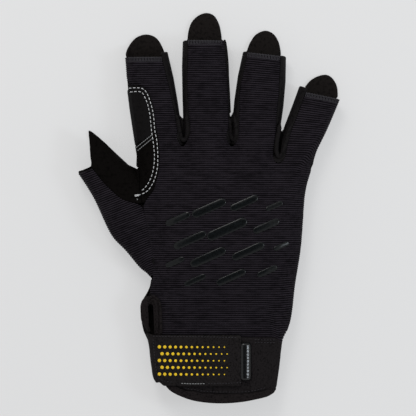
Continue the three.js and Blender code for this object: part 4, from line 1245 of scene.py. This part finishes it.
def flap(name, pixels, level, thick, material, slot):
    """A thin closed sheet that lies level below a slit."""
    rim = np.array([at_pixel(*pixel) for pixel in pixels])
    centre = rim.mean(axis=0)
    rings = [(1.0, level), (1.03, level + thick / 2), (1.0, level + thick)]
    layers = [np.column_stack([centre + (rim - centre) * size, np.full(len(rim), z)]) for size, z in rings]
    points = np.concatenate(layers)
    count = len(rim)
    faces = [list(range(count))[::-1], [2 * count + k for k in range(count)]]
    for ring in (0, 1):
        low, high = ring * count, (ring + 1) * count
        for k in range(count):
            after = (k + 1) % count
            faces.append([low + k, low + after, high + after, high + k])
    area = np.sum(np.roll(rim[:, 0], 1) * rim[:, 1] - rim[:, 0] * np.roll(rim[:, 1], 1))
    if area < 0:
        faces = [face[::-1] for face in faces]
    return new_piece(name, points, faces, material, slot)


FLAPS = (
    ("crotch_flap_index_middle", ((178.6, 114), (178.5, 134), (179, 146), (184, 149), (189, 146),
        (189, 134), (186.4, 114), (182.4, 118.6)), 7.0),
    ("crotch_flap_middle_ring", ((228.2, 112), (228, 134), (228.6, 146), (233, 149), (238, 146),
        (238, 134), (233.4, 112), (230.8, 117)), 7.0),
    ("crotch_flap_ring_little", ((278, 126), (275, 150), (275.6, 162), (280, 164), (285, 160), (288, 130),
        (286.6, 126), (281.8, 131.6)), 7.0),
    ("thumb_seam_flap", ((131, 172), (137, 170.5), (143, 172), (147, 200), (152, 240), (157, 268),
        (153, 272), (146, 240), (138, 210), (132, 196)), 5.0),
    ("thumb_crotch_flap", ((137.6, 168.6), (139.2, 165), (141, 163), (142.5, 175), (136.5, 175)), 6.5),
    ("wrist_side_flap", ((153, 276), (150.8, 281), (150, 287), (147.1, 292.6), (143.6, 298.4),
        (149.5, 302), (156, 300), (158, 280)), 5.0),
    ("vent_flap", ((147.6, 339.4), (145.6, 335), (143.6, 330.6), (141.9, 323), (144, 312), (149, 293),
        (153.5, 290), (158, 300), (160, 340), (151.5, 340)), 5.5),
    ("patch_top_flap", ((127.4, 80), (128.3, 92), (134, 92), (134, 80)), 8.5),
    ("hem_end_flap", ((262, 389.6), (271.6, 386.9), (273.4, 388.6), (271.8, 391), (266, 393.6),
        (262, 394)), 13.4),
)
FLAP_THICKNESS = 1.0
for name, pixels, level in FLAPS:
    flap(name, pixels, level, FLAP_THICKNESS, gusset_leather, "gusset_leather")
print("flaps", [name for name, _, _ in FLAPS])

# %% [markdown]
# Each sleeve of knit ends in an overlocked edge: short threads close together across the cut edge and
# two long ones that hold them. It is a shade paler than the knit and a little wider than two ribs.

# %% Overlocked edges
OVERLOCK_PITCH = 0.95
OVERLOCK_WIDTH = 2.9
OVERLOCK_SHARES = (0.0, 0.12, 0.5, 0.88, 1.0)
OVERLOCK_DIVE = np.array([-0.3, 0.05, 0.12, 0.05, -0.3])
HEM_ENDS = ((128.4, 161), (188.6, 221.2), (248.2, 279.2), (306.4, 337.2))
overlock = []
for finger, hem, (first, last) in zip(FINGERS, hems, HEM_ENDS):
    xs = np.array([at_pixel(first, 0)[0], at_pixel(last, 0)[0]])
    ends = np.array([(x, hem[0] + hem[1] * (x - hem[2])) for x in xs])
    ahead = (ends[1] - ends[0]) / np.linalg.norm(ends[1] - ends[0])
    down = np.array([ahead[1], -ahead[0]])
    count = round(np.linalg.norm(ends[1] - ends[0]) / OVERLOCK_PITCH)
    for k in range(count + 1):
        top = ends[0] + (ends[1] - ends[0]) * k / count - down * 0.1
        lean = ahead * (0.12 if k % 2 else -0.12)
        place = np.array([top + (down * OVERLOCK_WIDTH + lean) * share for share in OVERLOCK_SHARES])
        form = dropped(place, 0.12)
        form[:, 2] = np.median(form[:, 2]) + OVERLOCK_DIVE
        overlock.append(tube(form, 0.55, 0.45, 6, 0.7))
    for share in (0.14, 0.86):
        row = even_steps(ends + down * OVERLOCK_WIDTH * share, 0.9)
        overlock.append(tube(dropped(row, 0.30), 0.36, 0.36, 6, 0.7))
tubes_piece("hem_overlock", overlock, dark_thread, "dark_thread")

# %% [markdown]
# The strap is sewn round with dark thread. On one stretch of its lower edge the stitches are pale grey
# thread instead: a painted highlight for the shine of that edge where the stitches pull it tight.
# Its end is a tab of glossy plastic, dipped over the cloth: flat on top, with a slope on its right side
# that catches the lamp. It is lofted from one section, so the slope is real and the glint moves.

# %% Strap stitching
strap_rows = [
    *stitches(((152.5, 335.9), (200, 336.2), (238, 337)), 0.9, 0.9, 0.40),
    *stitches(((254, 339.2), (275.5, 339.8)), 0.9, 0.9, 0.36),
    *stitches(((241.5, 381.9), (222, 382.6), (208, 382.6)), 0.9, 0.8, 0.36),
    *stitches(((153.2, 338.5), (155, 358), (157, 373), (160.4, 378.6), (166, 380.8),
        (174, 381.4)), 0.9, 0.9, 0.34),
]
tubes_piece("strap_stitching", strap_rows, dark_thread, "dark_thread")
# Pale thread on this stretch of the strap's lower edge is a painted highlight.
painted_highlight_stitches = stitches(((181, 382.6), (193, 383), (206, 382.8)), 1.1, 0.5, 0.46)
tubes_piece("strap_stitches_painted_highlight", painted_highlight_stitches, seam_thread, "stitch_thread")
cuff_rows = [
    *stitches(((254, 341.8), (275.5, 342.4)), 1.0, 0.8, 0.34),
    *stitches(((184, 387.2), (204, 390.4), (228, 391.4), (250, 390.6), (267, 386.8)), 1.0, 0.9, 0.30),
]
tubes_piece("cuff_stitching", cuff_rows, dark_thread, "dark_thread")

# %% Glossy tab
TAB_TOP, TAB_FOOT = 342.2, 379.8
TAB_SECTION = ((239.9, -1.6), (240.4, -0.2), (241.4, 0.35), (243.6, 0.55), (246.2, 0.50), (247.0, 0.34),
    (248.2, 0.0), (249.5, -0.36), (250.6, -1.2), (251.0, -2.4))
TAB_CROWN = 22.6
TAB_MIDDLE, TAB_SLOPE_FROM = 245.4, 246
TAB_ROWS = 34
TAB_DEPTH = 3.2
rows = []
for row in np.linspace(TAB_TOP, TAB_FOOT, TAB_ROWS):
    from_end = min(row - TAB_TOP, TAB_FOOT - row)
    size = 0.80 + 0.20 * min(1.0, from_end / 4.0) ** 0.5
    drop = 0.9 * (1 - min(1.0, from_end / 2.0)) ** 2
    bumps = 0.10 * math.sin(row * 1.9) + 0.07 * math.sin(row * 3.1 + 1.0)
    section = []
    for column, lift in TAB_SECTION:
        x, y = at_pixel(TAB_MIDDLE + (column - TAB_MIDDLE) * size, row)
        wobble = bumps if column > TAB_SLOPE_FROM else 0.4 * bumps
        section.append((x, y, TAB_CROWN + lift - drop + wobble))
    (left, y, _), (right, _, _) = section[0], section[-1]
    under = TAB_CROWN - TAB_DEPTH
    rows.append([*section, (right - 0.4, y, under), (left + 0.4, y, under)])
new_piece("strap_tip", *lofted(rows), tab_plastic, "tab_plastic", ["strap_tab"])
tab_stitches = stitches(((244.2, 345), (244.6, 362), (244.2, 377.4)), 0.8, 1.0, 0.42, 0.25)
tubes_piece("tab_stitches", tab_stitches, tab_plastic, "tab_plastic")

# %% [markdown]
# Two places carry a print. Both are plain motifs of this lesson's own: raised bars of glossy ink over
# the back of the hand, and a field of yellow dots that shrink across the strap.
# A print stands a fraction of a millimetre above the cloth, so each mark is a low closed dome.

# %% Raised marks


def mark(centre_pixel, half_length, half_width, turn, lift, rise, tree, points_along=9):
    """A low dome with a long oval outline, laid on a skin."""
    centre = np.array(at_pixel(*centre_pixel))
    ahead = np.array([math.cos(turn), math.sin(turn)])
    aside = np.array([-ahead[1], ahead[0]])
    shares = -np.cos(np.linspace(0, math.pi, points_along))
    across = (-1.0, -0.75, -0.3, 0.3, 0.75, 1.0)
    crown = (0.0, 0.7, 1.0, 1.0, 0.7, 0.0)
    reach = half_length - half_width
    rows = []
    for share in shares:
        along = share * half_length
        beyond = max(0.0, abs(along) - reach)
        width = half_width * math.sqrt(max(0.02, 1 - (beyond / half_width) ** 2))
        middle_height = height_at(*(centre + ahead * along), tree)
        edge = 0.25 if abs(share) == 1 else 1.0
        row = []
        for a, c in zip(across, crown):
            x, y = centre + ahead * along + aside * width * a
            row.append((x, y, height_at(x, y, tree, middle_height) + lift + rise * c * edge))
        row += [(row[-1][0], row[-1][1], row[-1][2] - 0.5), (row[0][0], row[0][1], row[0][2] - 0.5)]
        rows.append(row)
    return lofted(rows)


# %% Bars on the back of the hand
BAR_TURN = math.radians(24)
BAR_LIFT, BAR_RISE = RIB_DEPTH * 0.9, 0.35
BARS = (
    ((178, 219), 8.0, 2.0), ((209, 208), 11.0, 2.6), ((244, 203), 9.0, 2.3), ((274, 206), 5.5, 1.6),
    ((190, 240), 10.5, 2.4), ((227, 229), 13.0, 3.0), ((266, 226), 8.5, 2.2),
    ((175, 262), 6.0, 1.7), ((208, 257), 11.5, 2.7), ((248, 251), 10.5, 2.4), ((281, 246), 5.0, 1.5),
    ((195, 280), 7.0, 1.8), ((231, 277), 9.5, 2.2), ((267, 271), 6.5, 1.8),
)
bars = [
    mark(centre, length, width, BAR_TURN, BAR_LIFT, BAR_RISE, knit_tree, 17)
    for centre, length, width in BARS
]
tubes_piece("back_print", bars, gloss_print, "gloss_print")

# %% Dots on the strap
DOT_ROWS, DOT_COLUMNS = 5, 13
FIRST_DOT = (159.5, 346.5)
DOT_PITCH = (5.4, 6.8)
DOT_STAGGER = 2.7
DOT_SIZE, DOT_SHRINK, DOT_SMALLEST = 1.02, 0.052, 0.35
dots = []
for row in range(DOT_ROWS):
    for column in range(DOT_COLUMNS):
        size = DOT_SIZE - DOT_SHRINK * column
        if size > DOT_SMALLEST:
            shift = DOT_STAGGER if row % 2 else 0.0
            place = (FIRST_DOT[0] + column * DOT_PITCH[0] + shift, FIRST_DOT[1] + row * DOT_PITCH[1])
            dots.append(mark(place, size, size, 0.0, 0.03, 0.12, shown_tree, 9))
tubes_piece("strap_print", dots, yellow_print, "yellow_print")
